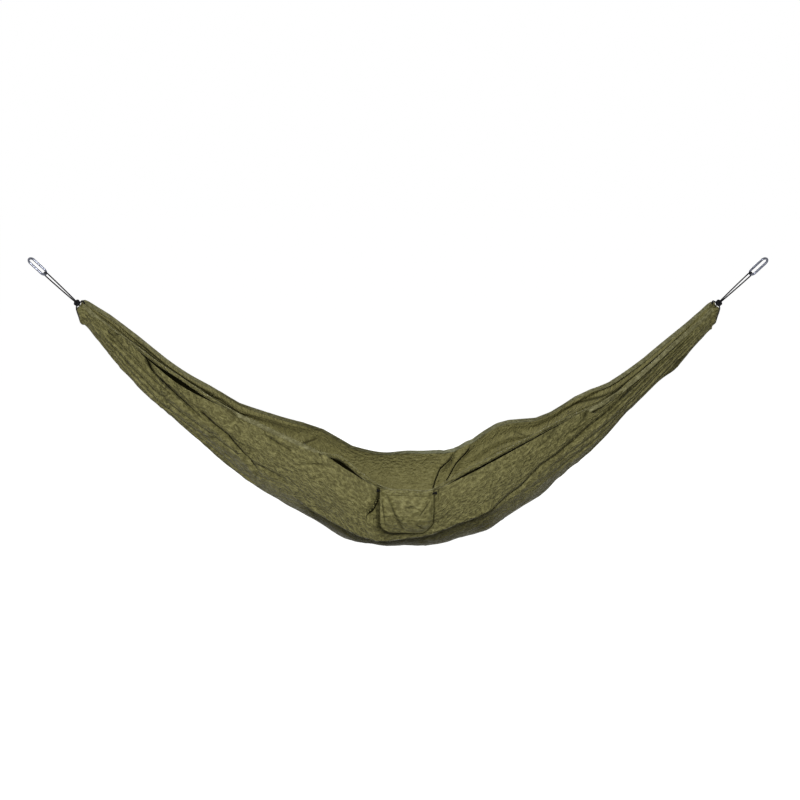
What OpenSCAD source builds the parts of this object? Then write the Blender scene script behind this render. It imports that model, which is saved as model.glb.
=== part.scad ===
// Gathered-end camping hammock, hung by two snap hooks.
// X runs from the left hook to the right one, Y to the back, Z up.
// The origin is the seat of the left hook, where its anchor strap bears.

/* [Hanging] */
// Distance between the seats of the two hooks
hang_span = 2400; // [2380:1:2440]
// Angle of the hanging cords below the horizontal
hang_angle = 43.5; // [42:0.5:45]
// Turn of each hook about its own long axis
hook_twist = 62; // [50:1:70]

/* [Bed] */
// Drop from the knots to the lowest point of the cloth
bed_sag = 790; // [770:1:820]
// Half of the distance between the hems at the middle
bed_half_width = 300; // [280:1:320]
// How far the wall bulges out below the hem at the middle
wall_bulge = 66; // [50:1:80]
// Thickness of the cloth solid
cloth_t = 1.6; // [1.2:0.1:2.2]
// Height of the folded hem
hem_h = 14; // [10:1:18]
// Thickness of the folded hem
hem_t = 3; // [2.4:0.1:3.6]

/* [End sleeve and cords] */
// Diameter of the hanging cord
cord_d = 4.5; // [4:0.1:4.8]
// Distance from the knot to the bend of the loop in the hook
loop_len = 138; // [130:1:146]
// Outer radius of the knot
knot_r = 12; // [11.5:0.1:12.3]
// Radius of the gathered sleeve
sleeve_r = 9.5; // [9:0.1:10]
// Height of the gathered sleeve
sleeve_h = 54; // [50:1:56]

/* [Snap hook] */
// Overall length of the hook
hook_len = 80; // [78:1:84]
// Diameter of the bent rod
rod_d = 8; // [7.6:0.1:8.2]
// Radius of each round end, to the middle of the rod
bend_r = 13; // [12.5:0.1:14]
// Thickness of the flattened tongues of the hook
tongue_t = 3.2; // [2.8:0.1:3.4]
// Diameter of the hinge pin and of the latch pin
pin_d = 2.5; // [2.2:0.1:2.6]
// Length of the gate above its hinge
gate_len = 36; // [34:0.1:36.5]
// Wire diameter of the gate spring
spring_wire = 0.6; // [0.5:0.05:0.7]

/* [Stuff sack] */
// Width of the sack
sack_w = 168; // [150:1:180]
// Height of the sack
sack_h = 132; // [120:1:140]
// Depth of the pouch at its fullest
sack_depth = 24; // [20:1:28]
// Place of the sack's middle, to the right of the bed's middle
sack_shift = 28; // [0:1:40]
// Thickness of the sack cloth
sack_t = 1; // [0.8:0.1:1.2]
// Diameter of the drawcord
drawcord_d = 2.5; // [2:0.1:2.8]

/* [Hidden] */

// clearances
seat_gap = 0.3;     // between soft pieces, and between a cord and what it bears on
side_gap = 0.3;     // each side of a tongue in its slot
pin_gap = 0.06;     // radial, round the hinge pin
end_gap = 0.5;      // between the gate and the shoulders of the hook

// cloth end, seen along Y from the knot: where the sleeve stands
sleeve_x = 22;      // from the knot to the axis of the sleeve
sleeve_top = -5;    // top of the sleeve, from the knot's height

// places worked out from the hanging
bight = hook_len - 1.5 * rod_d;                 // from the seat to the rod that the loop bends over
knot_reach = bight + loop_len;                  // from the seat to the knot
knot_x = knot_reach * cos(hang_angle);
knot_z = -knot_reach * sin(hang_angle);
mid_x = hang_span / 2;
bed_end_x = knot_x + sleeve_x;                  // the cloth's ends close round the sleeves
bed_half = mid_x - bed_end_x;
end_half = sleeve_r + seat_gap + hem_t / 2;     // half width of the bed at its ends

// The bed's lines from the left end (-1) to the right end (1).
// Each row: place, then near hem, far hem and belly as shares of the sag, then the width's growth
// from the ends (0) to the middle (1).
bed_lines = [
    [-1.00, 0.025, 0.010, 0.093, 0.00],
    [-0.90, 0.102, 0.091, 0.237, 0.16],
    [-0.68, 0.314, 0.324, 0.528, 0.40],
    [-0.41, 0.471, 0.523, 0.802, 0.73],
    [-0.20, 0.588, 0.637, 0.952, 0.95],
    [-0.06, 0.699, 0.698, 0.994, 0.99],
    [ 0.03, 0.710, 0.700, 1.000, 1.00],
    [ 0.11, 0.711, 0.701, 0.994, 0.99],
    [ 0.18, 0.670, 0.684, 0.973, 0.96],
    [ 0.30, 0.594, 0.596, 0.922, 0.88],
    [ 0.54, 0.446, 0.456, 0.686, 0.55],
    [ 0.68, 0.360, 0.360, 0.521, 0.40],
    [ 0.90, 0.124, 0.128, 0.240, 0.16],
    [ 1.00, 0.028, 0.014, 0.115, 0.00]
];
bed_steps = 56;     // stations along the bed
wall_steps = 9;     // steps down each half of the section
far_share = 1.06;   // the far half is a little wider
end_bulge = 6;      // bulge of the walls at the ends

// ---------- helpers ----------

function unit(v) = v / norm(v);
function area2(r) = [for (i = [0:len(r) - 1]) 1]
    * [for (i = [0:len(r) - 1]) let (a = r[i], b = r[(i + 1) % len(r)]) a[0] * b[1] - b[0] * a[1]];
function turned(r) = [for (i = [len(r) - 1:-1:0]) r[i]];
function wound(r) = area2(r) < 0 ? turned(r) : r;

// a section in a plane of constant X, wound for the loft
function at_x(x, ring) = [for (p = wound(ring)) [x, p[0], p[1]]];

// smooth curve through rows whose first value is the place
function row_index(rows, u, i = 0) =
    i >= len(rows) - 2 || u < rows[i + 1][0] ? i : row_index(rows, u, i + 1);
function slope(rows, i) =
    let (a = rows[max(i - 1, 0)], b = rows[min(i + 1, len(rows) - 1)]) (b - a) / (b[0] - a[0]);
function along(rows, u) =
    let (i = row_index(rows, u), a = rows[i], b = rows[i + 1], h = b[0] - a[0], t = (u - a[0]) / h)
    a * (2 * pow(t, 3) - 3 * pow(t, 2) + 1) + b * (3 * pow(t, 2) - 2 * pow(t, 3))
    + slope(rows, i) * h * (pow(t, 3) - 2 * pow(t, 2) + t)
    + slope(rows, i + 1) * h * (pow(t, 3) - pow(t, 2));

// smooth path through chosen points, with n steps between neighbours
function spline(p, n) = concat([for (i = [0:len(p) - 2], k = [0:n - 1])
    let (t = k / n, a = p[max(i - 1, 0)], b = p[i], c = p[i + 1], d = p[min(i + 2, len(p) - 1)])
    b + t / 2 * (c - a) + pow(t, 2) / 2 * (2 * a - 5 * b + 4 * c - d)
    + pow(t, 3) / 2 * (3 * b - a - 3 * c + d)], [p[len(p) - 1]]);

function bezier(a, b, c, d, t) = pow(1 - t, 3) * a + 3 * pow(1 - t, 2) * t * b
    + 3 * (1 - t) * pow(t, 2) * c + pow(t, 3) * d;

// triangles that close a ring of m points, from side to side, so that a thin curved ring closes too
function zigzag(m, k) = k % 2 == 0 ? k / 2 : m - (k + 1) / 2;
function cap(m, first, last_ring) = [for (k = [0:m - 3])
    let (a = first + zigzag(m, k), b = first + zigzag(m, k + 1), c = first + zigzag(m, k + 2))
    (k % 2 == 0) == last_ring ? [a, b, c] : [a, c, b]];

// solid through a row of rings that all have the same number of points
module loft(rings, closed = false) {
    n = len(rings);
    m = len(rings[0]);
    walls = [for (i = [0:(closed ? n - 1 : n - 2)], j = [0:m - 1], k = [0, 1])
        let (a = i * m + j, b = i * m + (j + 1) % m,
             c = ((i + 1) % n) * m + (j + 1) % m, d = ((i + 1) % n) * m + j)
        k == 0 ? [a, d, c] : [a, c, b]];
    ends = closed ? [] : concat(cap(m, 0, false), cap(m, (n - 1) * m, true));
    polyhedron([for (r = rings) each r], concat(walls, ends), convexity = 8);
}

function path_dir(p, i, closed) = closed
    ? unit(p[(i + 1) % len(p)] - p[(i + len(p) - 1) % len(p)])
    : unit(p[min(i + 1, len(p) - 1)] - p[max(i - 1, 0)]);
function cord_ring(c, t, side, r, sides) =
    let (u = unit(cross(t, side)), v = cross(t, u))
    [for (k = [0:sides - 1]) c + r * (cos(360 * k / sides) * u + sin(360 * k / sides) * v)];

// round cord along a path; side is a direction that the path never runs along
module cord(path, d, side, sides = 8, closed = false) {
    loft([for (i = [0:len(path) - 1])
        cord_ring(path[i], path_dir(path, i, closed), side, d / 2, sides)], closed);
}

// trefoil knot that fits a ball of radius r
module trefoil(r, d, turns = 32, sides = 8) {
    s = (r - d / 2) / 3;
    lift = 0.62 * d;
    cord([for (k = [0:turns - 1]) let (a = 360 * k / turns)
        [s * (sin(a) + 2 * sin(2 * a)), s * (cos(a) - 2 * cos(2 * a)), -lift * sin(3 * a)]],
        d, [0, 0, 1], sides, true);
}

// the right end is the left end mirrored
module both_ends(side) {
    if (side == "left") children();
    else translate([hang_span, 0, 0]) mirror([1, 0, 0]) children();
}
module at_knot() translate([knot_x, 0, knot_z]) children();

// hook frame: origin on the rod at the low end, Z up the hook, X across it towards the gate
module at_hook() translate([bight * cos(hang_angle), 0, -bight * sin(hang_angle)])
    rotate([0, hang_angle - 90, 0]) rotate([0, 0, hook_twist]) children();

// ---------- bed ----------

function bed_u(x) = (x - mid_x) / bed_half;
function bed_row(x) = along(bed_lines, bed_u(x));
function half_at(x, widest) = end_half + bed_row(x)[4] * (widest - end_half);
function near_top(x) = [-half_at(x, bed_half_width), knot_z - bed_row(x)[1] * bed_sag];
function far_top(x) = [half_at(x, bed_half_width * far_share), knot_z - bed_row(x)[2] * bed_sag];
function belly(x) = [0, knot_z - bed_row(x)[3] * bed_sag];
function bulge(x) = end_bulge + (wall_bulge - end_bulge) * bed_row(x)[4];
function shoulder(x, top) = let (s = sign(top[0]))
    [top[0] + s * bulge(x), (top[1] + belly(x)[1]) / 2];
function turn_in(x, top) = [top[0] + sign(top[0]) * 0.2 * bulge(x), belly(x)[1]];
function hem_dir(x, top) = unit(shoulder(x, top) - top);
function wall_top(x, top) = top + (hem_h + seat_gap) * hem_dir(x, top);
function wall_at(x, top, t) =
    bezier(wall_top(x, top), shoulder(x, top), turn_in(x, top), belly(x), t);
function wall_dir(x, top, t) = unit(wall_at(x, top, t + 0.01) - wall_at(x, top, t - 0.01));

// the middle line of the cloth across the bed, near edge to far edge
function cloth_line(x) = concat(
    [for (k = [0:wall_steps]) wall_at(x, near_top(x), k / wall_steps)],
    [for (k = [wall_steps - 1:-1:0]) wall_at(x, far_top(x), k / wall_steps)]);
function line_normal(l, i) =
    let (t = unit(l[min(i + 1, len(l) - 1)] - l[max(i - 1, 0)])) [-t[1], t[0]];
// The cloth is sewn from three panels: two at the sides and one under the middle.
seam_step = 6;      // steps of each half that a side panel takes
last_step = 2 * wall_steps;

// a point of a panel's line, held back at the seams
function panel_point(l, i, a, b) = i == a && a > 0 ? l[i] + seat_gap / 2 * unit(l[i + 1] - l[i])
    : i == b && b < last_step ? l[i] + seat_gap / 2 * unit(l[i - 1] - l[i]) : l[i];
function panel_ring(x, a, b) = let (l = cloth_line(x), h = cloth_t / 2)
    at_x(x, concat([for (i = [a:b]) panel_point(l, i, a, b) - h * line_normal(l, i)],
        [for (i = [b:-1:a]) panel_point(l, i, a, b) + h * line_normal(l, i)]));
module panel(a, b) loft([for (k = [0:bed_steps])
    panel_ring(bed_end_x + 2 * bed_half * k / bed_steps, a, b)]);

module near_panel() color("#6b6a42") panel(0, seam_step);
module middle_panel() color("#66653e") panel(seam_step, last_step - seam_step);
module far_panel() color("#6b6a42") panel(last_step - seam_step, last_step);

function hem_ring(x, top) =
    let (d = hem_dir(x, top), n = [-d[1], d[0]], h = hem_t / 2, e = hem_t / 5)
    at_x(x, [for (q = [[0, -e], [e, -h], [hem_h - e, -h], [hem_h, -e],
                       [hem_h, e], [hem_h - e, h], [e, h], [0, e]]) top + q[0] * d + q[1] * n]);

module near_hem() color("#716d4e") loft([for (k = [0:bed_steps])
    let (x = bed_end_x + 2 * bed_half * k / bed_steps) hem_ring(x, near_top(x))]);

module far_hem() color("#716d4e") loft([for (k = [0:bed_steps])
    let (x = bed_end_x + 2 * bed_half * k / bed_steps) hem_ring(x, far_top(x))]);

// ---------- end sleeves, cords and knots ----------

sleeve_pleats = 12;     // folds round the gathered sleeve
sleeve_fold = 0.8;      // depth of each fold
fold_r = 1.2;           // radius of each fold
sleeve_round = 2;       // rounding of the sleeve's ends

module sleeve() color("#78754c") at_knot() translate([sleeve_x, 0, sleeve_top]) difference() {
    rotate_extrude($fn = 48) difference() {
        union() {
            translate([0, -sleeve_h]) square([sleeve_r - sleeve_round, sleeve_h]);
            translate([0, sleeve_round - sleeve_h]) square([sleeve_r, sleeve_h - 2 * sleeve_round]);
            for (z = [-sleeve_round, sleeve_round - sleeve_h])
                translate([sleeve_r - sleeve_round, z]) circle(r = sleeve_round, $fn = 24);
        }
        translate([-1, -sleeve_h - 1]) square([1 + cord_d / 2 + seat_gap, sleeve_h + 2]);
    }
    for (k = [0:sleeve_pleats - 1]) rotate([0, 0, 360 * (k + 0.5) / sleeve_pleats])
        translate([sleeve_r + fold_r - sleeve_fold, 0, -sleeve_h - 1])
            cylinder(r = fold_r, h = sleeve_h + 2, $fn = 16);
}

// from a lobe of the knot down beside the sleeve, up through it and back to another lobe
gather_route = [[-2.9, 0, -12], [-3, 0, -20], [0, 0, -32], [4, 0, -44], [7, 0, -55], [10, 0, -64],
                [15, 0, -69], [20, 0, -67], [22, 0, -60], [22, 0, -48], [22, 0, -30], [22, 0, -14],
                [22, 0, -5], [22, 0, 1], [19.6, 0, 6.4], [15.6, 0, 5.6], [11.8, 0, 3.5]];

module gather_cord() color("#17181d") at_knot() cord(spline(gather_route, 2), cord_d, [0, 1, 0]);

// one lobe of the knot faces the hook
knot_turn = 30 - hang_angle;
module knot() color("#17181d") at_knot() rotate([90, -knot_turn, 0]) trefoil(knot_r, cord_d);

loop_bend = rod_d / 2 + seat_gap + cord_d / 2;      // radius of the bend over the rod
leg_side = cord_d / 2 + seat_gap;                   // each leg at the knot, from the middle
leg_foot = knot_r + seat_gap - loop_len;            // where the legs meet the knot
leg_steps = 6;
bend_steps = 10;
function leg(s) = [for (k = [0:leg_steps - 1]) let (t = k / leg_steps)
    [0, s * (leg_side + (loop_bend - leg_side) * t), leg_foot * (1 - t)]];
loop_path = concat(leg(-1),
    [for (k = [0:bend_steps]) let (a = 180 * k / bend_steps) [0, -loop_bend * cos(a), loop_bend * sin(a)]],
    turned(leg(1)));

module loop() color("#17181d") at_hook() cord(loop_path, cord_d, [1, 0, 0]);

// ---------- snap hook ----------

side_len = hook_len - rod_d - 2 * bend_r;           // straight part of each side
hinge_up = 8;                                       // from the end of the low bend to the hinge
low_shoulder = rod_d / 2 + end_gap;                 // below the hinge
high_shoulder = gate_len + end_gap;                 // above the hinge
tongue_top = rod_d / 2;                             // flat end of the lower tongue
tongue_half = 2.6;                                  // half width of that flat end
hinge_slot = norm([tongue_top, tongue_half]) + end_gap;   // top of the slot over the lower tongue
latch_down = 3.5;                                   // latch pin, below the gate's end
latch_z = gate_len - latch_down;                    // latch pin, from the hinge
latch_lip = 4.5;                                    // from the latch pin to the nose's tip
nose_gap = 0.9;                                     // from the nose's tip to the floor of its slot
latch_floor = latch_z - latch_lip - nose_gap;       // floor of the gate's latch slot
spring_top = 20;                                    // end of the spring pocket
pocket_d = 4.4;                                     // bore of the spring pocket
slot_w = tongue_t + 2 * side_gap;

// frame of the gate: origin at the hinge, Z up the gate
module at_gate() translate([bend_r, 0, bend_r + hinge_up]) children();
module across(d, h) rotate([90, 0, 0]) cylinder(d = d, h = h, center = true, $fn = 32);
module slab(t, z0, z1) translate([-rod_d, -t / 2, z0]) cube([2 * rod_d, t, z1 - z0]);

module rod_bend(a0) rotate([90, 0, 0]) rotate([0, 0, a0])
    rotate_extrude(angle = 180, $fn = 64) translate([bend_r, 0]) circle(d = rod_d, $fn = 32);

// lower tongue, which the gate swings on: round shoulders, flat end
module hinge_tongue() difference() {
    intersection() {
        slab(tongue_t, -low_shoulder - 1, tongue_top);
        translate([0, 0, -low_shoulder - 1])
            cylinder(d = rod_d, h = low_shoulder + 1 + tongue_top, $fn = 32);
        union() {
            slab(tongue_t, -low_shoulder - 1, 0);
            across(2 * norm([tongue_top, tongue_half]), rod_d);
        }
    }
    across(pin_d, rod_d);
}

// upper tongue: a nose whose notch catches the latch pin
module nose() difference() {
    intersection() {
        slab(tongue_t, latch_z - latch_lip, high_shoulder + 1);
        translate([0, 0, latch_z - latch_lip])
            cylinder(d = rod_d, h = high_shoulder + 1 - latch_z + latch_lip, $fn = 32);
    }
    translate([0, 0, latch_z]) across(pin_d + 2 * side_gap, rod_d);
    translate([-rod_d, -rod_d / 2, latch_z - pin_d / 2 - side_gap])
        cube([rod_d, rod_d, pin_d + 2 * side_gap]);
}

module hook() color("#c9ccd1") at_hook() union() {
    translate([0, 0, bend_r]) rod_bend(180);
    translate([0, 0, bend_r + side_len]) rod_bend(0);
    translate([-bend_r, 0, bend_r]) cylinder(d = rod_d, h = side_len, $fn = 32);
    at_gate() {
        translate([0, 0, -hinge_up]) cylinder(d = rod_d, h = hinge_up - low_shoulder, $fn = 32);
        hinge_tongue();
        nose();
        translate([0, 0, high_shoulder])
            cylinder(d = rod_d, h = side_len - hinge_up - high_shoulder, $fn = 32);
    }
}

module gate() color("#b9bdc4") at_hook() at_gate() difference() {
    union() {
        cylinder(d = rod_d, h = gate_len, $fn = 32);
        intersection() {
            translate([0, 0, -rod_d / 2]) cylinder(d = rod_d, h = rod_d / 2 + 1, $fn = 32);
            across(rod_d, rod_d + 2);
        }
    }
    slab(slot_w, -rod_d, hinge_slot);
    across(pin_d + 2 * pin_gap, rod_d + 2);
    translate([0, 0, hinge_slot - 1]) cylinder(d = pocket_d, h = spring_top - hinge_slot + 1, $fn = 32);
    slab(slot_w, latch_floor, gate_len + 1);
    translate([0, 0, latch_z]) across(pin_d, rod_d + 2);
}

module hinge_pin() color("#8f949c") at_hook() at_gate() across(pin_d, rod_d + 2 * seat_gap);

module latch_pin() color("#8f949c") at_hook() at_gate() translate([0, 0, latch_z])
    across(pin_d, rod_d + 2 * seat_gap);

// plunger: its head bears on the lower tongue and its stem guides the spring
plunger_foot = tongue_top + seat_gap;   // its lower face, from the hinge
head_h = 3.2;           // height of its head
stem_d = 1.8;           // diameter of its stem
stem_h = 5;             // length of its stem
stem_root = 0.5;        // how far the stem reaches into the head
module plunger() color("#a2a6ad") at_hook() at_gate() translate([0, 0, plunger_foot]) {
    cylinder(d = pocket_d - 2 * seat_gap, h = head_h, $fn = 32);
    translate([0, 0, head_h - stem_root]) cylinder(d = stem_d, h = stem_h + stem_root, $fn = 24);
}

// spring: fixed at the top of its pocket, clear of the plunger's travel
plunger_travel = 0.8;
coil_turns = 6;
coil_steps = 10;        // rings in a turn
coil_sides = 5;         // sides of the wire
coil_side_gap = 0.15;   // radial, between the coils and the pocket
coil_end_gap = 0.05;    // between the last coil and the end of the pocket
coil_r = (pocket_d - spring_wire) / 2 - coil_side_gap;
coil_low = plunger_foot + head_h + plunger_travel + spring_wire;
coil_high = spring_top - spring_wire / 2 - coil_end_gap;
coil_rings = coil_turns * coil_steps;
module gate_spring() color("#9aa0a8") at_hook() at_gate()
    cord([for (k = [0:coil_rings]) let (a = 360 * k / coil_steps)
        [coil_r * cos(a), coil_r * sin(a), coil_low + (coil_high - coil_low) * k / coil_rings]],
        spring_wire, [0, 0, 1], coil_sides);

// ---------- stuff sack, sewn to the near hem ----------

sack_x = mid_x + sack_shift;
sack_stations = 16;
sack_rows = 8;
channel_h = 12;         // height of the drawcord channel
channel_wall = 1.25;    // cloth round the drawcord, each side
channel_t = drawcord_d + 2 * channel_wall;      // thickness of the channel
sack_drop = 2;          // from the hem's top down to the sack's top
mouth_share = 0.7;      // depth of the mouth as a share of the pouch
corner_lift = 0.16;     // how far the lower corners are rounded up
hem_clear = hem_t / 2 + 4.5 * seat_gap;   // from the hem's middle line to the back of the sack

// share of the near wall's curve at which it reaches a height
function wall_t(x, z, lo = 0, hi = 0.6, n = 14) = let (m = (lo + hi) / 2) n == 0 ? m
    : wall_at(x, near_top(x), m)[1] > z ? wall_t(x, z, m, hi, n - 1) : wall_t(x, z, lo, m, n - 1);
// front of the near wall or its hem at a height, as a place along Y
function wall_front(x, z) = let (top = near_top(x), w = wall_top(x, top))
    (z > w[1] ? top[0] + (w[0] - top[0]) * (top[1] - z) / (top[1] - w[1])
              : wall_at(x, top, wall_t(x, z))[0]) - hem_clear / abs(hem_dir(x, top)[1]);
function sack_top(x) = near_top(x)[1] - sack_drop;
function sack_low(x, s) = sack_top(x) - sack_h * (1 - corner_lift * pow(abs(s), 6));
function pouch(s, v) = sack_depth * (1 - pow(abs(s), 4)) * (1 - pow(v, 5))
    * (mouth_share + (1 - mouth_share) * sin(180 * v));

// a sheet that starts below the sack's top by drop, stands lift off the wall and bellies out by full
function sack_section(x, s, drop, lift, full) = let (
    top = sack_top(x), low = sack_low(x, s),
    inner = [for (k = [0:sack_rows]) let (z = top - drop + (low - top + drop) * k / sack_rows)
        [wall_front(x, z) - lift - full * pouch(s, (top - z) / (top - low)), z]])
    concat(inner, turned([for (p = inner) p - [sack_t, 0]]));

module sack_sheet(drop, lift, full) loft([for (k = [0:sack_stations])
    let (s = -1 + 2 * k / sack_stations, x = sack_x + s * sack_w / 2)
    at_x(x, sack_section(x, s, drop, lift, full))]);

front_lift = sack_t + 3 * seat_gap;

module sack_back() color("#6f6e46") sack_sheet(0, 0, 0);

module sack_front() color("#7b7850") sack_sheet(channel_h + seat_gap, front_lift, 1);

function mouth_at(s) = let (x = sack_x + s * sack_w / 2, z = sack_top(x) - channel_h)
    [x, wall_front(x, z) - front_lift - channel_t / 2 - pouch(s, 0), z + channel_h / 2];
function channel_ring(p, h, t) = at_x(p[0], [for (q = [[-1, -0.6], [-0.6, -1], [0.6, -1], [1, -0.6],
    [1, 0.6], [0.6, 1], [-0.6, 1], [-1, 0.6]]) [p[1] + q[0] * t / 2, p[2] + q[1] * h / 2]]);

channel_end = 0.97;     // the channel stops short of the side seams
cord_end = 1.05;        // how far the drawcord reaches, as a share of the channel
module sack_channel() color("#74724a") difference() {
    loft([for (k = [0:sack_stations])
        channel_ring(mouth_at(channel_end * (2 * k / sack_stations - 1)), channel_h, channel_t)]);
    cord(drawcord_path(cord_end + 0.01), drawcord_d + 2 * seat_gap, [0, 0, 1]);
}

function drawcord_path(reach) = [for (k = [0:sack_stations])
    mouth_at(reach * channel_end * (2 * k / sack_stations - 1))];

stopper_r = 5.5;        // radius of the knots that keep the drawcord in
stopper_share = 0.72;   // cord of those knots, pulled thin, as a share of the drawcord
module drawcord() color("#17181d") cord(drawcord_path(cord_end), drawcord_d, [0, 0, 1]);

module drawcord_knots() color("#17181d") for (s = [-1, 1]) {
    p = mouth_at(s * cord_end * channel_end);
    translate(p + [s * (stopper_r + seat_gap), 0, 0]) rotate([90, -30 * s, 0])
        trefoil(stopper_r, drawcord_d * stopper_share, 24, 6);
}

near_panel();
middle_panel();
far_panel();
near_hem();
far_hem();
both_ends("left") sleeve();  // left_sleeve
both_ends("right") sleeve();  // right_sleeve
both_ends("left") gather_cord();  // left_gather_cord
both_ends("right") gather_cord();  // right_gather_cord
both_ends("left") knot();  // left_knot
both_ends("right") knot();  // right_knot
both_ends("left") loop();  // left_loop
both_ends("right") loop();  // right_loop
both_ends("left") hook();  // left_hook
both_ends("right") hook();  // right_hook
both_ends("left") hinge_pin();  // left_hinge_pin
both_ends("right") hinge_pin();  // right_hinge_pin
both_ends("left") gate();  // left_gate
both_ends("right") gate();  // right_gate
both_ends("left") latch_pin();  // left_latch_pin
both_ends("right") latch_pin();  // right_latch_pin
both_ends("left") gate_spring();  // left_gate_spring
both_ends("right") gate_spring();  // right_gate_spring
both_ends("left") plunger();  // left_plunger
both_ends("right") plunger();  // right_plunger
sack_back();
sack_front();
sack_channel();
drawcord();
drawcord_knots();
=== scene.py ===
import math
import bpy
import numpy as np
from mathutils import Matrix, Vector


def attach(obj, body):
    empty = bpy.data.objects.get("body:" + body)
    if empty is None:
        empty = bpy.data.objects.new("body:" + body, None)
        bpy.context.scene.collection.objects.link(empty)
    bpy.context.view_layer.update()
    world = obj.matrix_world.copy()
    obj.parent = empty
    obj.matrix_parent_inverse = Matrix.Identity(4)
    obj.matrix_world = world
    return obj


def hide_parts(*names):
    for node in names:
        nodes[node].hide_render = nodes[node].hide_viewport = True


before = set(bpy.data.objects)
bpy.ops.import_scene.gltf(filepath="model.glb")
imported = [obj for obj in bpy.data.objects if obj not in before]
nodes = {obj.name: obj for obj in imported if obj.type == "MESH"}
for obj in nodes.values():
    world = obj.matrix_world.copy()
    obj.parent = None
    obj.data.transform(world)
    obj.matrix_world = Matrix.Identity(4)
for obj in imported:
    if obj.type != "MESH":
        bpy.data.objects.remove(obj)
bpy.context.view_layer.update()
scene = bpy.context.scene
scene.view_settings.view_transform = "Standard"
mm = 0.001

# ---------------------------------------------------------------- camera

aim = Vector((1.2066, 0.0, -0.4635))
down_angle = math.radians(9)
away = 6.2
camera_data = bpy.data.cameras.new("camera")
camera_data.lens = 84.5
camera_data.sensor_width = 36
camera_data.clip_end = 60
camera = bpy.data.objects.new("camera", camera_data)
camera.location = aim + away * Vector((0, -math.cos(down_angle), math.sin(down_angle)))
camera.rotation_euler = (math.pi / 2 - down_angle, 0, 0)
scene.collection.objects.link(camera)
scene.camera = camera


# ---------------------------------------------------------------- small helpers

def unit(v):
    return v / np.maximum(np.linalg.norm(v, axis=-1, keepdims=True), 1e-12)


def smoothstep(a, b, x):
    t = np.clip((np.asarray(x, float) - a) / (b - a), 0, 1)
    return t * t * (3 - 2 * t)


def catmull(points, t):
    """Smooth curve through points at the parameters t, from 0 to the number of points less 1."""
    n = len(points)
    i = np.clip(np.floor(t).astype(int), 0, n - 2)
    f = (t - i).reshape(np.shape(t) + (1,) * (points.ndim - 1))
    a, b = points[np.maximum(i - 1, 0)], points[i]
    c, d = points[i + 1], points[np.minimum(i + 2, n - 1)]
    return (b + f / 2 * (c - a) + f ** 2 / 2 * (2 * a - 5 * b + 4 * c - d)
            + f ** 3 / 2 * (3 * b - a - 3 * c + d))


def run_along(path):
    """Distance from the first point of a path to each of its points."""
    return np.r_[0, np.cumsum(np.linalg.norm(np.diff(path, axis=0), axis=1))]


def smooth_path(points, step):
    """Points a step apart along the smooth curve through a few points."""
    points = np.asarray(points, float)
    fine = catmull(points, np.linspace(0, len(points) - 1, 40 * len(points)))
    run = run_along(fine)
    at = np.linspace(0, run[-1], max(4, int(round(run[-1] / step)) + 1))
    return np.column_stack([np.interp(at, run, fine[:, k]) for k in range(3)])


def turned(points, angle, axis):
    """Points turned about X, Y or Z, which are axis 0, 1 and 2."""
    a, b = (axis + 1) % 3, (axis + 2) % 3
    made = points.copy()
    made[:, a] = points[:, a] * math.cos(angle) - points[:, b] * math.sin(angle)
    made[:, b] = points[:, a] * math.sin(angle) + points[:, b] * math.cos(angle)
    return made


def value_noise(x, y, cell, seed):
    """Smooth bumps from -1 to 1, a cell across, the same for the same seed."""
    x, y = np.asarray(x) / cell, np.asarray(y) / cell
    ix, iy = np.floor(x).astype(int), np.floor(y).astype(int)
    fx, fy = x - ix, y - iy
    fx, fy = fx * fx * (3 - 2 * fx), fy * fy * (3 - 2 * fy)
    table = np.random.default_rng(seed).uniform(-1, 1, (128, 128))

    def corner(i, j):
        return table[(ix + i) % 128, (iy + j) % 128]
    return ((corner(0, 0) * (1 - fx) + corner(1, 0) * fx) * (1 - fy)
            + (corner(0, 1) * (1 - fx) + corner(1, 1) * fx) * fy)


def map_pairs(across, along):
    """Pairs of map values for a grid, from two arrays that fit it."""
    return np.stack(np.broadcast_arrays(across, along), -1)


def add_mesh(name, verts, faces, uv, attributes=None, material=None, map_name="cloth_metres"):
    """A smooth-shaded mesh object. uv is one pair for each vertex."""
    mesh = bpy.data.meshes.new(name)
    mesh.from_pydata(np.reshape(verts, (-1, 3)).tolist(), [], [list(face) for face in faces])
    mesh.polygons.foreach_set("use_smooth", [True] * len(mesh.polygons))
    loops = np.empty(len(mesh.loops), int)
    mesh.loops.foreach_get("vertex_index", loops)
    layer = mesh.uv_layers.new(name=map_name)
    layer.data.foreach_set("uv", np.reshape(uv, (-1, 2))[loops].astype(np.float32).ravel())
    for key, values in (attributes or {}).items():
        mesh.attributes.new(key, "FLOAT", "POINT").data.foreach_set(
            "value", np.asarray(values, np.float32).ravel())
    mesh.materials.append(material)
    mesh.update()
    thing = bpy.data.objects.new(name, mesh)
    scene.collection.objects.link(thing)
    return thing


def dress(piece, body, slot, *stands_for):
    """The body that a piece moves with and the solids that it stands for, which are hidden; its material
    slot is not used.
    """
    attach(piece, body)
    if stands_for:
        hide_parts(*stands_for)
    return piece


def grid_faces(rows, cols, start=0, wrap_rows=False, wrap_cols=False, turn=False):
    i = np.arange(rows if wrap_rows else rows - 1)
    j = np.arange(cols if wrap_cols else cols - 1)
    i, j = (a.ravel() for a in np.meshgrid(i, j, indexing="ij"))
    a, b = i * cols + j, (i + 1) % rows * cols + j
    c, d = (i + 1) % rows * cols + (j + 1) % cols, i * cols + (j + 1) % cols
    quads = np.column_stack([a, b, c, d]) + start
    return quads[:, ::-1] if turn else quads


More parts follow.
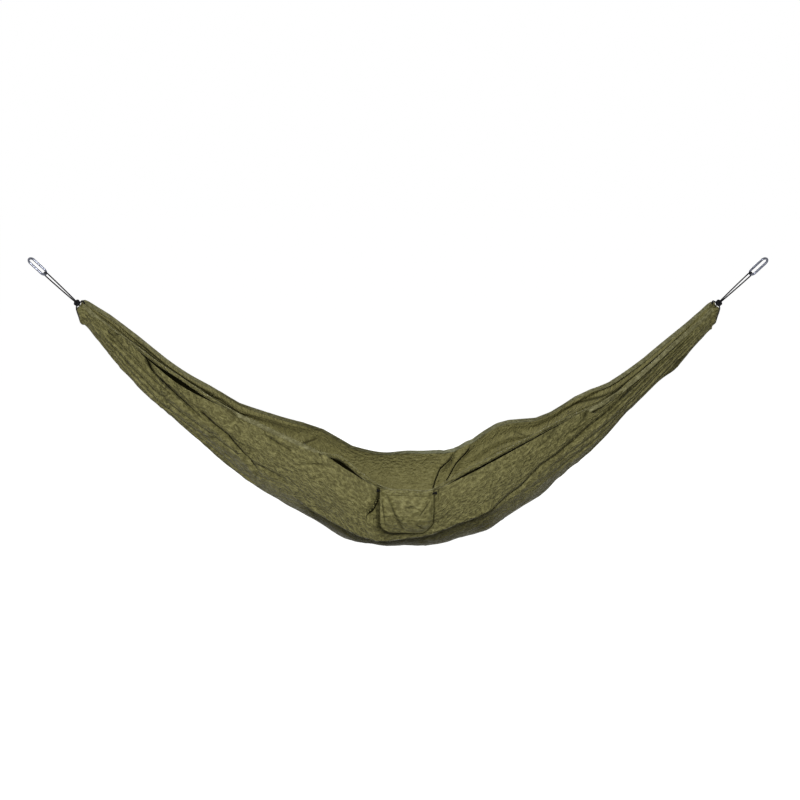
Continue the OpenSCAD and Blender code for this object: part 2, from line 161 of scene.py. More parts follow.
def tube_faces(rings, sides, turn=False):
    """Faces of a tube with both ends closed."""
    last = (rings - 1) * sides
    caps = [list(range(sides)), list(range(last + sides - 1, last - 1, -1))]
    faces = grid_faces(rings, sides, wrap_cols=True, turn=turn).tolist()
    return faces + [cap if turn else cap[::-1] for cap in caps]


def grid_normals(grid):
    return unit(np.cross(np.gradient(grid, axis=0), np.gradient(grid, axis=1)))


def add_cloth(name, grid, thick, uv, attributes=None, material=None):
    """A thin closed cloth from a grid of points; its outer side is along the grid's normals.

    An attribute is one array for both sides, or a pair for the outer and the inner side."""
    rows, cols = grid.shape[:2]
    half = grid_normals(grid) * thick / 2
    verts = np.concatenate([(grid + half).reshape(-1, 3), (grid - half).reshape(-1, 3)])
    count = rows * cols
    faces = [grid_faces(rows, cols), grid_faces(rows, cols, count, turn=True)]
    number = np.arange(count).reshape(rows, cols)
    border = np.concatenate([number[0, :-1], number[:-1, -1], number[-1, :0:-1], number[:0:-1, 0]])
    after = np.roll(border, -1)
    faces.append(np.column_stack([border, after, after + count, border + count]))
    # painted light: the inner side of the cloth is painted lighter than the outer side
    values = {"painted_light_share": np.repeat([0.0, 1.0], count)}
    for key, sides in (attributes or {}).items():
        sides = sides if isinstance(sides, tuple) else (sides, sides)
        values[key] = np.concatenate([np.ravel(side) for side in sides])
    uv = np.concatenate([uv.reshape(-1, 2)] * 2)
    return add_mesh(name, verts, np.concatenate(faces), uv, values, material)


def tube_rings(path, closed=False):
    """Two cross directions at every point of a path, carried along without twisting."""
    along = (np.roll(path, -1, 0) - np.roll(path, 1, 0)) if closed else np.gradient(path, axis=0)
    along = unit(along)
    side = np.empty_like(path)
    first = np.eye(3)[np.argmin(abs(along[0]))]
    side[0] = unit(np.cross(along[0], first))
    for k in range(1, len(path)):
        s = side[k - 1] - np.dot(side[k - 1], along[k]) * along[k]
        side[k] = unit(s)
    if closed:
        last = side[-1] - np.dot(side[-1], along[0]) * along[0]
        turn = math.atan2(np.dot(np.cross(last, side[0]), along[0]), np.dot(last, side[0]))
        angle = turn * np.arange(len(path)) / len(path)
        other = np.cross(along, side)
        side = np.cos(angle)[:, None] * side + np.sin(angle)[:, None] * other
    return side, np.cross(along, side)


cap_out = 0.6 * np.array([1.0, 0.82, 0.5]) ** 2     # a cord's round end: how far out its rings lie
cap_wide = np.array([0.12, 0.60, 0.88])             # and how wide they are, both in radii of the cord


def add_cord(name, path, diameter, material, sides=14, closed=False):
    """A round cord as a tube with a map in metres: round it, and along it."""
    path = np.asarray(path, float)
    radius = np.full(len(path), diameter / 2)
    if not closed:
        start, end = unit(path[1] - path[0]), unit(path[-1] - path[-2])
        path = np.concatenate([path[0] - np.outer(cap_out * diameter / 2, start), path,
                               path[-1] + np.outer(cap_out[::-1] * diameter / 2, end)])
        radius = np.concatenate([cap_wide * diameter / 2, radius, cap_wide[::-1] * diameter / 2])
    side, other = tube_rings(path, closed)
    angle = np.linspace(0, 2 * math.pi, sides, endpoint=False)
    ring = np.cos(angle)[:, None] * side[:, None] + np.sin(angle)[:, None] * other[:, None]
    verts = path[:, None] + ring * radius[:, None, None]
    if closed:
        faces = grid_faces(len(path), sides, wrap_rows=True, wrap_cols=True, turn=True)
    else:
        faces = tube_faces(len(path), sides, turn=True)
    uv = map_pairs(angle[None] / (2 * math.pi), run_along(path)[:, None])
    return add_mesh(name, verts, faces, uv, material=material, map_name="cord_map")


# ---------------------------------------------------------------- materials

def link(tree, a, b):
    tree.links.new(a, b)


def new_group(name, inputs, outputs):
    group = bpy.data.node_groups.new(name, "ShaderNodeTree")
    for key, kind, value in inputs:
        socket = group.interface.new_socket(key, in_out="INPUT", socket_type=kind)
        if value is not None:
            socket.default_value = value
    for key, kind in outputs:
        group.interface.new_socket(key, in_out="OUTPUT", socket_type=kind)
    return group, group.nodes.new("NodeGroupInput"), group.nodes.new("NodeGroupOutput")


def node(tree, kind, **settings):
    made = tree.nodes.new(kind)
    for key, value in settings.items():
        setattr(made, key, value)
    return made


def feed(tree, value, socket):
    """A number, a colour, a place or another node's output into a socket."""
    if isinstance(value, (int, float, tuple)):
        socket.default_value = value
    else:
        link(tree, value, socket)


def calc(tree, operation, a, b=None, clamp=False):
    """A Math node; a and b are numbers or sockets."""
    made = node(tree, "ShaderNodeMath", operation=operation, use_clamp=clamp)
    feed(tree, a, made.inputs[0])
    if b is not None:
        feed(tree, b, made.inputs[1])
    return made.outputs[0]


def times(tree, a, b):
    return calc(tree, "MULTIPLY", a, b)


def mix_colour(tree, factor, a, b):
    made = node(tree, "ShaderNodeMix", data_type="RGBA")
    for k, value in ((0, factor), (6, a), (7, b)):
        feed(tree, value, made.inputs[k])
    return made.outputs[2]


def noise(tree, at, scale, detail, roughness=0.5):
    made = node(tree, "ShaderNodeTexNoise")
    for key, value in (("Vector", at), ("Scale", scale), ("Detail", detail), ("Roughness", roughness)):
        feed(tree, value, made.inputs[key])
    return made


def moved(tree, at, by):
    """A place on the map, shifted by a place or by another node's output."""
    made = node(tree, "ShaderNodeVectorMath", operation="ADD")
    feed(tree, at, made.inputs[0])
    feed(tree, by, made.inputs[1])
    return made.outputs[0]


def bump(tree, height, strength, distance, under=None):
    """A Bump node's normal; under is the normal of the bump below it."""
    made = node(tree, "ShaderNodeBump")
    made.inputs["Strength"].default_value = strength
    made.inputs["Distance"].default_value = distance
    link(tree, height, made.inputs["Height"])
    if under:
        link(tree, under, made.inputs["Normal"])
    return made.outputs[0]


def srgb(r, g, b):
    """A colour as it looks on a screen, from 0 to 255, in the values that materials take."""
    linear = (((c / 255 + 0.055) / 1.055) ** 2.4 if c > 10 else c / 255 / 12.92 for c in (r, g, b))
    return tuple(linear) + (1,)


def times_colour(colour, factor):
    return tuple(c * factor for c in colour[:3]) + (1,)


def crinkle_group():
    """Crushed nylon: a height and a light and dark mask, on a map in metres. The mask is random tone, with
    painted light on the raised facets and painted shade in the wrinkles.
    """
    tree, enter, leave = new_group(
        "nylon_crinkle",
        [("Map", "NodeSocketVector", None), ("Cells", "NodeSocketFloat", 90.0),
         ("Threads", "NodeSocketFloat", 2400.0)],
        [("Height", "NodeSocketFloat"), ("Mask", "NodeSocketFloat"), ("Threads", "NodeSocketFloat")])
    on_map, cells = enter.outputs["Map"], enter.outputs["Cells"]

    # the map, bent a little so that no wrinkle runs straight, and drawn out the long way of the bed
    shift = node(tree, "ShaderNodeVectorMath", operation="SCALE")
    shift.inputs["Scale"].default_value = 0.03
    link(tree, noise(tree, on_map, 14, 2).outputs["Color"], shift.inputs[0])
    long_way = node(tree, "ShaderNodeMapping")
    long_way.inputs["Rotation"].default_value = (0, 0, 0.30)
    long_way.inputs["Scale"].default_value = (0.62, 1.0, 1.0)
    link(tree, moved(tree, on_map, shift.outputs[0]), long_way.inputs["Vector"])
    bent = long_way.outputs[0]

    # facets between the wrinkles: size against Cells, height, place of the pattern
    heights = []
    for size, height, start in ((0.74, 0.95, 0.0), (1.9, 0.42, 7.3)):
        facets = node(tree, "ShaderNodeTexVoronoi", feature="F1", voronoi_dimensions="2D")
        link(tree, moved(tree, bent, (start, start * 1.7, 0)), facets.inputs["Vector"])
        link(tree, times(tree, cells, size), facets.inputs["Scale"])
        heights.append(times(tree, facets.outputs["Distance"], height))
    facet = calc(tree, "ADD", *heights)

    # long thin wrinkles, where a soft noise crosses its middle: size against Cells, share, place
    thinness = 13.0
    lines = []
    for size, share, start in ((0.36, 0.58, 2.1), (0.84, 0.42, 5.7)):
        soft = noise(tree, moved(tree, bent, (start, start * 1.3, 0)), times(tree, cells, size), 1.5)
        aside = calc(tree, "ABSOLUTE", calc(tree, "SUBTRACT", soft.outputs["Fac"], 0.5))
        line = calc(tree, "SUBTRACT", 1.0, times(tree, aside, thinness), clamp=True)
        lines.append(times(tree, line, share))
    wrinkle = calc(tree, "ADD", *lines)
    link(tree, calc(tree, "SUBTRACT", facet, times(tree, wrinkle, 0.55)), leave.inputs["Height"])

    # light and dark: random clouds, painted light on the raised facets and painted shade in the wrinkles
    cloud = noise(tree, bent, times(tree, cells, 0.80), 5, 0.62)
    light = calc(tree, "ADD", times(tree, cloud.outputs["Fac"], 0.50), times(tree, facet, 0.42))
    dark = times(tree, calc(tree, "POWER", wrinkle, 1.5), 0.38)
    link(tree, calc(tree, "SUBTRACT", light, dark), leave.inputs["Mask"])

    # the woven threads both ways
    rows = []
    for way in ("X", "Y"):
        wave = node(tree, "ShaderNodeTexWave", wave_type="BANDS", bands_direction=way)
        link(tree, on_map, wave.inputs["Vector"])
        link(tree, times(tree, enter.outputs["Threads"], 0.5), wave.inputs["Scale"])
        rows.append(wave.outputs["Fac"])
    link(tree, times(tree, calc(tree, "ADD", *rows), 0.5), leave.inputs["Threads"])
    return tree


def braid_group():
    """Braided cord: crossing strands, on a map of turns round and metres along."""
    tree, enter, leave = new_group(
        "cord_braid",
        [("Map", "NodeSocketVector", None), ("Turns", "NodeSocketFloat", 6.0),
         ("Along", "NodeSocketFloat", 420.0)],
        [("Height", "NodeSocketFloat"), ("Mask", "NodeSocketFloat")])
    split = node(tree, "ShaderNodeSeparateXYZ")
    link(tree, enter.outputs["Map"], split.inputs[0])
    angle, along = (times(tree, times(tree, split.outputs[way], enter.outputs[key]), 2 * math.pi)
                    for way, key in (("X", "Turns"), ("Y", "Along")))
    one = calc(tree, "SINE", calc(tree, "ADD", angle, along))
    two = calc(tree, "SINE", calc(tree, "SUBTRACT", angle, along))
    strand = calc(tree, "MAXIMUM", one, two)
    height = calc(tree, "ADD", times(tree, strand, 0.5), 0.5, clamp=True)
    link(tree, height, leave.inputs["Height"])
    # painted shade: the cord is darker between its strands and lighter on their crowns, in random patches
    patches = noise(tree, enter.outputs["Map"], 300, 3)
    link(tree, times(tree, height, patches.outputs["Fac"]), leave.inputs["Mask"])
    return tree


def wear_group():
    """Handling wear on metal: fine scratches and smudges."""
    tree, enter, leave = new_group(
        "metal_wear", [("Scratches", "NodeSocketFloat", 1.0), ("Smudges", "NodeSocketFloat", 1.0)],
        [("Mask", "NodeSocketFloat"), ("Height", "NodeSocketFloat")])
    place = node(tree, "ShaderNodeTexCoord")
    stretch = node(tree, "ShaderNodeMapping")
    stretch.inputs["Scale"].default_value = (900, 5000, 900)
    stretch.inputs["Rotation"].default_value = (0.3, 0.7, 0.4)
    link(tree, place.outputs["Object"], stretch.inputs["Vector"])
    fine = noise(tree, stretch.outputs[0], 1, 4).outputs["Fac"]
    smudge = noise(tree, place.outputs["Object"], 160, 4).outputs["Fac"]
    scratch = times(tree, calc(tree, "POWER", fine, 4), enter.outputs["Scratches"])
    worn = calc(tree, "ADD", scratch, times(tree, smudge, enter.outputs["Smudges"]), clamp=True)
    link(tree, worn, leave.inputs["Mask"])
    link(tree, fine, leave.inputs["Height"])
    return tree


crinkle = crinkle_group()
braid = braid_group()
wear = wear_group()


def new_material(name):
    material = bpy.data.materials.new(name)
    material.use_nodes = True
    tree = material.node_tree
    return material, tree, tree.nodes["Principled BSDF"]


def nylon(name, light, middle, dark, cells=125.0, rough=1.0, painted_light_colour=None):
    """Thin crushed nylon with painted shade. The fold attribute paints pockets and folds dark, and the
    crease attributes paint a dark line along each crease and press a groove into the bump:
    the gap to the nearest one in mm, and its depth from 0 to 1. Painted light moves the colour of the inner
    side and of the far hem towards a lighter one."""
    painted_light_colour = painted_light_colour or times_colour(light, 1.13)
    line_wide, groove_wide = 4.0, 8.0
    material, tree, surface = new_material(name)
    fold, gap, depth, inside = (
        node(tree, "ShaderNodeAttribute", attribute_name=key).outputs["Fac"]
        for key in ("fold", "crease_gap", "crease_depth", "painted_light_share"))
    place = node(tree, "ShaderNodeUVMap", uv_map="cloth_metres")
    body = node(tree, "ShaderNodeGroup", node_tree=crinkle)
    body.inputs["Cells"].default_value = cells
    link(tree, place.outputs[0], body.inputs["Map"])
    mask = body.outputs["Mask"]

    ramp = node(tree, "ShaderNodeValToRGB")
    ramp.color_ramp.elements[0].position = 0.28
    ramp.color_ramp.elements[0].color = dark
    ramp.color_ramp.elements[1].position = 0.72
    ramp.color_ramp.elements[1].color = light
    ramp.color_ramp.elements.new(0.5).color = middle
    link(tree, mask, ramp.inputs[0])

    aside = calc(tree, "ABSOLUTE", gap)
    line, groove = (
        times(tree, calc(tree, "SUBTRACT", 1.0, calc(tree, "DIVIDE", aside, wide), clamp=True), depth)
        for wide in (line_wide, groove_wide))
    # painted shade: pockets, folds and creases are painted nearly black, and their gloss and sheen are
    # taken away
    dimmed = calc(tree, "MAXIMUM", fold, times(tree, line, 0.95), clamp=True)
    lit = calc(tree, "SUBTRACT", 1.0, dimmed, clamp=True)
    # painted light: the colour moves towards a lighter one on the inner side of the cloth and on the far
    # hem
    colour = mix_colour(tree, times(tree, inside, 0.55), ramp.outputs[0], painted_light_colour)
    colour = mix_colour(tree, dimmed, colour, times_colour(dark, 0.04))
    between_threads = times(tree, body.outputs["Threads"], 0.10)
    colour = mix_colour(tree, between_threads, colour, times_colour(dark, 0.5))
    link(tree, colour, surface.inputs["Base Color"])
    link(tree, calc(tree, "ADD", times(tree, mask, -0.20), 0.66), surface.inputs["Roughness"])
    link(tree, times(tree, lit, 0.2), surface.inputs["Specular IOR Level"])
    link(tree, times(tree, lit, 0.03), surface.inputs["Sheen Weight"])
    surface.inputs["Sheen Roughness"].default_value = 0.4
    height = calc(tree, "SUBTRACT", body.outputs["Height"], times(tree, groove, 1.6))
    raised = bump(tree, height, 1.0, 4.2 * mm * rough)
    link(tree, bump(tree, body.outputs["Threads"], 0.25, 0.08 * mm, raised), surface.inputs["Normal"])
    return material


def cord_material(name, dark, light, along):
    material, tree, surface = new_material(name)
    place = node(tree, "ShaderNodeUVMap", uv_map="cord_map")
    body = node(tree, "ShaderNodeGroup", node_tree=braid)
    body.inputs["Along"].default_value = along
    link(tree, place.outputs[0], body.inputs["Map"])
    mask = body.outputs["Mask"]
    link(tree, mix_colour(tree, mask, dark, light), surface.inputs["Base Color"])
    link(tree, calc(tree, "ADD", times(tree, mask, -0.15), 0.68), surface.inputs["Roughness"])
    surface.inputs["Specular IOR Level"].default_value = 0.15
    link(tree, bump(tree, body.outputs["Height"], 0.8, 0.4 * mm), surface.inputs["Normal"])
    return material


def metal(name, colour, dull, rough, spread, scratches):
    """Steel; rough is its least roughness, and spread is what wear adds to it."""
    material, tree, surface = new_material(name)
    body = node(tree, "ShaderNodeGroup", node_tree=wear)
    body.inputs["Scratches"].default_value = scratches
    body.inputs["Smudges"].default_value = 0.6
    mask = body.outputs["Mask"]
    link(tree, mix_colour(tree, mask, colour + (1,), dull + (1,)), surface.inputs["Base Color"])
    surface.inputs["Metallic"].default_value = 1
    link(tree, calc(tree, "ADD", times(tree, mask, spread), rough), surface.inputs["Roughness"])
    link(tree, bump(tree, body.outputs["Height"], 0.12, 0.03 * mm), surface.inputs["Normal"])
    return material


olive = (srgb(130, 125, 80), srgb(110, 106, 64), srgb(86, 82, 46))
hem_olive = (srgb(128, 125, 90), srgb(110, 107, 73), srgb(88, 85, 54))
sack_olive = (srgb(130, 126, 82), srgb(112, 108, 66), srgb(86, 82, 46))
thread_olive = (srgb(104, 100, 66), srgb(92, 88, 56), srgb(76, 72, 44))
bed_nylon = nylon("bed_nylon", *olive)
# painted highlight: the hem's lighter colour, which the far hem takes in its middle
hem_nylon = nylon("hem_nylon", *hem_olive, cells=140, rough=0.5, painted_light_colour=srgb(164, 168, 142))
sack_nylon = nylon("sack_nylon", *sack_olive, cells=140, rough=0.6)
thread = nylon("thread", *thread_olive, cells=400, rough=0.1)
black_cord = cord_material("black_cord", srgb(3, 3, 5), srgb(13, 14, 19), 380)
thin_cord = cord_material("thin_cord", srgb(4, 4, 6), srgb(16, 17, 22), 620)
polished_steel = metal("polished_steel", (0.20, 0.21, 0.25), (0.03, 0.035, 0.05), 0.12, 0.16, 1.6)
pin_steel = metal("pin_steel", (0.46, 0.47, 0.49), (0.30, 0.30, 0.32), 0.26, 0.2, 1.0)
spring_steel = metal("spring_steel", (0.40, 0.41, 0.43), (0.24, 0.24, 0.26), 0.30, 0.2, 0.9)

# ---------------------------------------------------------------- cords and knots

X, Y, Z = 0, 1, 2
hang_angle = math.radians(43.5)      # the loops, from level
hook_twist = math.radians(62)        # the hook's face, about its loop
span = 2.4                           # between the seats of the two hooks
rod_d = 8 * mm
cord_d = 4.5 * mm
drawcord_d = 2.5 * mm
seat_gap = 0.3 * mm
knot_r = 12 * mm
bight = 68 * mm                      # from a hook's seat to the rod that its loop hangs on
loop_len = 138 * mm                  # from there to the knot's middle
slack = 0.7 * mm                     # how far a leg of the loop bows out
down_loop = np.array([math.cos(hang_angle), 0, -math.sin(hang_angle)])
knot_at = (bight + loop_len) * down_loop


def at_side(points, side):
    """Points made for the left end, mirrored for the right one."""
    points = np.array(points, float)
    if side == "right":
        points[:, 0] = span - points[:, 0]
    return points


def loop_path():
    """Up one leg from the knot, over the low rod of the hook and down the other leg."""
    bend = (rod_d + cord_d) / 2 + seat_gap
    foot = cord_d / 2 + seat_gap
    low = knot_r + seat_gap - loop_len
    leg = np.linspace(0, 1, 14, endpoint=False)
    one = np.column_stack([slack * np.sin(math.pi * leg), -(foot + (bend - foot) * leg), low * (1 - leg)])
    over = np.linspace(0, math.pi, 22)
    top = np.column_stack([0 * over, -bend * np.cos(over), bend * np.sin(over)])
    two = one[::-1] * [-1, -1, 1]
    path = turned(np.concatenate([one, top, two]), hook_twist, Z)
    return turned(path, hang_angle - math.pi / 2, Y) + bight * down_loop


def trefoil(r, d, count):
    """A closed overhand knot of cord d thick, r from its middle to its outside."""
    a = np.linspace(0, 2 * math.pi, count, endpoint=False)
    s = (r - d / 2) / 3
    return np.column_stack([s * (np.sin(a) + 2 * np.sin(2 * a)), s * (np.cos(a) - 2 * np.cos(2 * a)),
                            -0.62 * d * np.sin(3 * a)])


def joined(pieces):
    """One object from several; the first keeps its name."""
    with bpy.context.temp_override(active_object=pieces[0], selected_editable_objects=pieces):
        bpy.ops.object.join()
    return pieces[0]


# from the knot down beside the bunched cloth, back up through its channel and over to the knot again
gather_route = np.array([[-2.9, 0, -12], [-3, 0, -20], [0, 0, -32], [4, 0, -44], [7, 0, -55], [10, 0, -64],
                         [15, 0, -69], [20, 0, -67], [22, 0, -60], [22, 0, -48], [22, 0, -30], [22, 0, -14],
                         [22, 0, -5], [22, 0, 1], [19.6, 0, 6.4], [15.6, 0, 5.6], [11.8, 0, 3.5]]) * mm
knot_turn = hang_angle - math.radians(30)

for side in ("left", "right"):
    outer = turned(turned(trefoil(knot_r, cord_d, 150), math.pi / 2, X), knot_turn, Y)
    inner = outer * [0.58, 0.95, 0.58]
    crossing = turned(outer, math.radians(60), Y) * [0.98, 1.15, 0.98]
    strands = [at_side(strand + knot_at, side) for strand in (outer, inner, crossing)]
    knot = joined([add_cord(side + "_overhand_knot", strand, cord_d, black_cord, 16, closed=True)
                   for strand in strands])
    dress(knot, side + "_rope", "black_cord", side + "_knot")
    path = at_side(loop_path(), side)
    loop = add_cord(side + "_hanging_loop", path, cord_d, black_cord, 16)
    dress(loop, side + "_rope", "black_cord", side + "_loop")
    route = at_side(smooth_path(gather_route, 1.2 * mm) + knot_at, side)
    gather = add_cord(side + "_channel_cord", route, cord_d, black_cord, 16)
    dress(gather, "bed", "black_cord", side + "_gather_cord")


# ---------------------------------------------------------------- the bed's surface

def stations(name):
    """Place along X and ring of (y, z) points for each station of a lofted node."""
    mesh = nodes[name].data
    flat = np.empty(len(mesh.vertices) * 3, np.float32)
    mesh.vertices.foreach_get("co", flat)
    p = np.unique(flat.reshape(-1, 3).astype(float).round(6), axis=0)
    cuts = np.nonzero(np.diff(p[:, 0]) > 0.001)[0] + 1
    return [(q[:, 0].mean(), q[:, 1:]) for q in np.split(p, cuts)]


def middle_line(ring, top):
    """The line midway between the outer and the inner side of a ring, in order round the bed."""
    ring = ring[np.argsort(np.arctan2(top - ring[:, 1], -ring[:, 0]))]
    return (ring[0::2] + ring[1::2]) / 2


line_steps = 400


def bed_table():
    """For each station: its place, even points from hem top to hem top, the seams' shares of the way
    and its length."""
    parts = [stations(n) for n in ("near_panel", "middle_panel", "far_panel", "near_hem", "far_hem")]
    places, lines, seams, lengths = [], [], [], []
    for near, mid, far, near_edge, far_edge in zip(*parts):
        top = max(near_edge[1][:, 1].max(), far_edge[1][:, 1].max()) + 0.005
        a, b, c = (middle_line(s[1], top) for s in (near, mid, far))
        line = np.vstack([a[:-1], [(a[-1] + b[0]) / 2], b[1:-1], [(b[-1] + c[0]) / 2], c[1:]])
        line = np.vstack([[2 * near_edge[1].mean(0) - line[0]], line, [2 * far_edge[1].mean(0) - line[-1]]])
        at = np.linspace(0, len(line) - 1, 801)
        fine = catmull(line, at)
        run = run_along(fine)
        seams.append(np.interp([len(a), len(a) + len(b) - 1], at, run) / run[-1])
        evenly = np.linspace(0, run[-1], line_steps + 1)
        lines.append(np.column_stack([np.interp(evenly, run, fine[:, k]) for k in (0, 1)]))
        places.append(near[0])
        lengths.append(run[-1])
    return np.array(places), np.array(lines), np.array(seams), np.array(lengths)


station_x, station_line, station_seam, station_arc = bed_table()


def bed_at(x, v):
    """Points of the smooth bed at places x along it and shares v of the way from hem to hem."""
    t = np.interp(x, station_x, np.arange(len(station_x)))
    lines = catmull(station_line, t)
    k = np.clip(v, 0, 1) * line_steps
    i = np.minimum(k.astype(int), line_steps - 1)
    f = (k - i)[..., None]
    rows = np.arange(len(x))[:, None]
    yz = lines[rows, i] * (1 - f) + lines[rows, i + 1] * f
    return np.concatenate([np.broadcast_to(x[:, None, None], yz.shape[:2] + (1,)), yz], -1)


# grid: places along the bed, closer at the ends, and shares across it, closer under the near hem
along_count, across_count, edge_rows = 284, 168, 32
edge_width = 0.032
even = np.linspace(0, 1, 2001)
crowd = 1 + 1.6 * (np.exp(-(even / 0.06) ** 2) + np.exp(-((1 - even) / 0.06) ** 2))
share = np.r_[0, np.cumsum((crowd[1:] + crowd[:-1]) / 2)]
bed_start, bed_end = station_x[0], station_x[-1]
bed_x = bed_start + (bed_end - bed_start) * np.interp(
    np.linspace(0, 1, along_count), share / share[-1], even)
bed_arc = np.interp(bed_x, station_x, station_arc)
edge_share = np.minimum(edge_width / bed_arc, 0.22)[:, None]
first = np.linspace(0, 1, edge_rows)
rest = np.linspace(0, 1, across_count - edge_rows + 1)[1:]
bed_v = np.concatenate([edge_share * first, edge_share + (1 - edge_share) * rest], 1)
smooth_bed = bed_at(bed_x, bed_v)
outward = -grid_normals(smooth_bed)
if outward[along_count // 2, across_count // 2, 2] > 0:
    outward = -outward
downward = unit(np.gradient(smooth_bed, axis=1))
run_s = bed_v * bed_arc[:, None]
grid_x = np.broadcast_to(bed_x[:, None], bed_v.shape)
cloth_way = run_along(smooth_bed[:, edge_rows + 12])      # the long way, measured on the near wall
grid_way = np.broadcast_to(cloth_way[:, None], bed_v.shape)
from_end = np.minimum(grid_x - bed_start, bed_end - grid_x)

# ---------------------------------------------------------------- creases of the bed

# points (place along X, share across), then depth, half width and lean of the upper lip, in mm
creases = [
    ([(.30, .040), (.346, .052), (.431, .082), (.516, .110), (.56, .125)], 11, 7, 4),
    ([(.55, .030), (.60, .034), (.69, .040)], 5, 5, 2),
    ([(.77, .034), (.82, .040), (.87, .044)], 6, 5, 2),
    ([(1.098, .115), (1.122, .085), (1.138, .045), (1.149, .006)], 14, 12, 3),
    ([(.26, .955), (.36, .968), (.47, .962), (.60, .975)], 9, 7, 0),
    ([(.30, .925), (.42, .938), (.55, .930), (.70, .945)], 9, 7, 0),
    ([(1.30, .022), (1.33, .024), (1.38, .016)], 6, 5, 2),
    ([(.54, .085), (.562, .095), (.652, .138), (.729, .208), (.76, .23)], 11, 8, 4),
    ([(.74, .195), (.765, .19), (.819, .18), (.84, .176)], 5, 6, 2),
    ([(1.93, .004), (1.902, .012), (1.845, .034), (1.804, .050), (1.77, .06)], 7, 6, 3),
    ([(1.98, .055), (1.93, .072), (1.827, .10), (1.766, .128), (1.655, .132), (1.591, .172), (1.403, .19)],
     8, 7, 4),
    ([(1.457, .985), (1.403, .94), (1.385, .902), (1.36, .85)], 14, 10, 4),
    ([(1.398, .985), (1.349, .932), (1.329, .87), (1.31, .80)], 14, 10, 3),
    ([(.60, .97), (.52, .93), (.45, .90), (.36, .87)], 9, 8, 3),
    ([(.93, .96), (.86, .91), (.78, .88)], 7, 8, 3),
    ([(1.76, .97), (1.86, .93), (1.95, .90)], 8, 8, 3),
]
# the low fold of the near wall, by points of the same kind
ridge_line = [(.84, .232), (.922, .238), (.956, .238), (1.043, .200), (1.14, .176), (1.239, .166),
              (1.334, .154), (1.444, .164), (1.56, .176)]
ridge_high = 11 * mm
gathers = 19                       # at each end
crushed_creases = 330

out = np.zeros(bed_v.shape)        # how far the cloth moves outwards
slide = np.zeros(bed_v.shape)      # and how far up along itself
# painted shade: fold is how dark the cloth is painted in pockets and folds
fold = np.zeros(bed_v.shape)       # how dark a pocket is
no_crease, crease_reach = 30.0, 14   # mm
crease_gap = np.full(bed_v.shape, no_crease)
crease_depth = np.zeros(bed_v.shape)
# waves and small creases die out at the ends and the edges
calm = smoothstep(0.0, 0.12, from_end)
calm = calm * smoothstep(0.0, 0.03, run_s) * smoothstep(0.0, 0.03, bed_arc[:, None] - run_s)


def line_share(points, x):
    """A line's share across at places along X."""
    p = np.array(sorted(points))
    return np.interp(x, p[:, 0], p[:, 1])


def fade(points, x, soft):
    """From 0 to 1 at a line's ends, over a soft length."""
    p = np.array(sorted(points))
    return smoothstep(p[0, 0], p[0, 0] + soft, x) * (1 - smoothstep(p[-1, 0] - soft, p[-1, 0], x))


def mark_crease(gap, depth, rows=slice(None)):
    """Note the nearest crease: signed gap to it in mm, and how deep it is, from 0 to 1; the material paints
    a dark line of painted shade along it and presses a groove into the bump.
    """
    near = depth * np.exp(-(gap / crease_reach) ** 2)
    better = near > crease_depth[rows]
    crease_gap[rows] = np.where(better, gap, crease_gap[rows])
    crease_depth[rows] = np.where(better, near, crease_depth[rows])


def press_creases(out, slide):
    """Press in the creases of the list: a groove between two lips."""
    for points, depth, half, lean in creases:
        steep = np.gradient(line_share(points, bed_x) * bed_arc, cloth_way)
        across = (bed_v - line_share(points, grid_x)) * bed_arc[:, None]
        s = across / np.hypot(1, steep)[:, None] / (half * mm)
        strength = fade(points, grid_x, min(0.035, 0.16 * abs(points[-1][0] - points[0][0])))
        lips = np.exp(-((s - 2.4) / 1.5) ** 2) + np.exp(-((s + 2.4) / 1.5) ** 2)
        out += depth * mm * strength * (0.35 * lips - np.exp(-np.abs(s) ** 1.3))
        slide += lean * mm * strength * np.exp(-((s + 1.6) / 1.4) ** 2)
        # painted shade: a dark line along the crease
        mark_crease(s * half, 0.11 * depth * strength)


def gather_ends(out):
    """Gathers that fan out from both ends: shallow where the near wall shows, deep low down."""
    rng = np.random.default_rng(11)
    for end in (0, 1):
        d = (grid_x - bed_start) if end == 0 else (bed_end - grid_x)
        for k in range(gathers):
            v0 = (k + 0.5 + rng.uniform(-0.28, 0.28)) / gathers
            reach = rng.uniform(0.50, 1.05)
            drift = rng.uniform(-0.02, 0.02)
            hidden = smoothstep(0.26, 0.42, v0) * (1 - smoothstep(0.93, 0.99, v0))
            depth = (5 + 30 * hidden) * rng.uniform(0.8, 1.15)
            half = rng.uniform(4.5, 6.5) + 1.5 * hidden
            strength = smoothstep(0.012, 0.15, d) * (1 - smoothstep(0.35 * reach, reach, d))
            strength = 0.03 * (1 - smoothstep(0.0, 0.05, d)) + strength
            centre = v0 + drift * d / reach + 0.012 * value_noise(d, k, 0.16, 40 + k + 50 * end)
            width = half * mm * (0.45 + 0.75 * smoothstep(0, 0.2, d))
            s = (bed_v - centre) * bed_arc[:, None] / width
            lips = np.exp(-((np.abs(s) - 2.2) / 1.2) ** 2)
            out += depth * mm * strength * (0.25 * lips - np.exp(-np.abs(s) ** 1.3))
            # painted shade: a dark line along the gather
            mark_crease(s * width / mm, 0.55 * np.clip(strength * 1.4, 0, 1))


def wave_cloth(out):
    """Slow waves and small ripples."""
    out += calm * 6.0 * mm * value_noise(grid_way, run_s * 1.6, 0.24, 3)
    out += calm * 2.5 * mm * value_noise(grid_way + 5, run_s * 1.4, 0.11, 4)
    out += calm * 1.0 * mm * (1 - 2 * np.abs(value_noise(grid_way + 3, run_s + 2, 0.05, 5)))


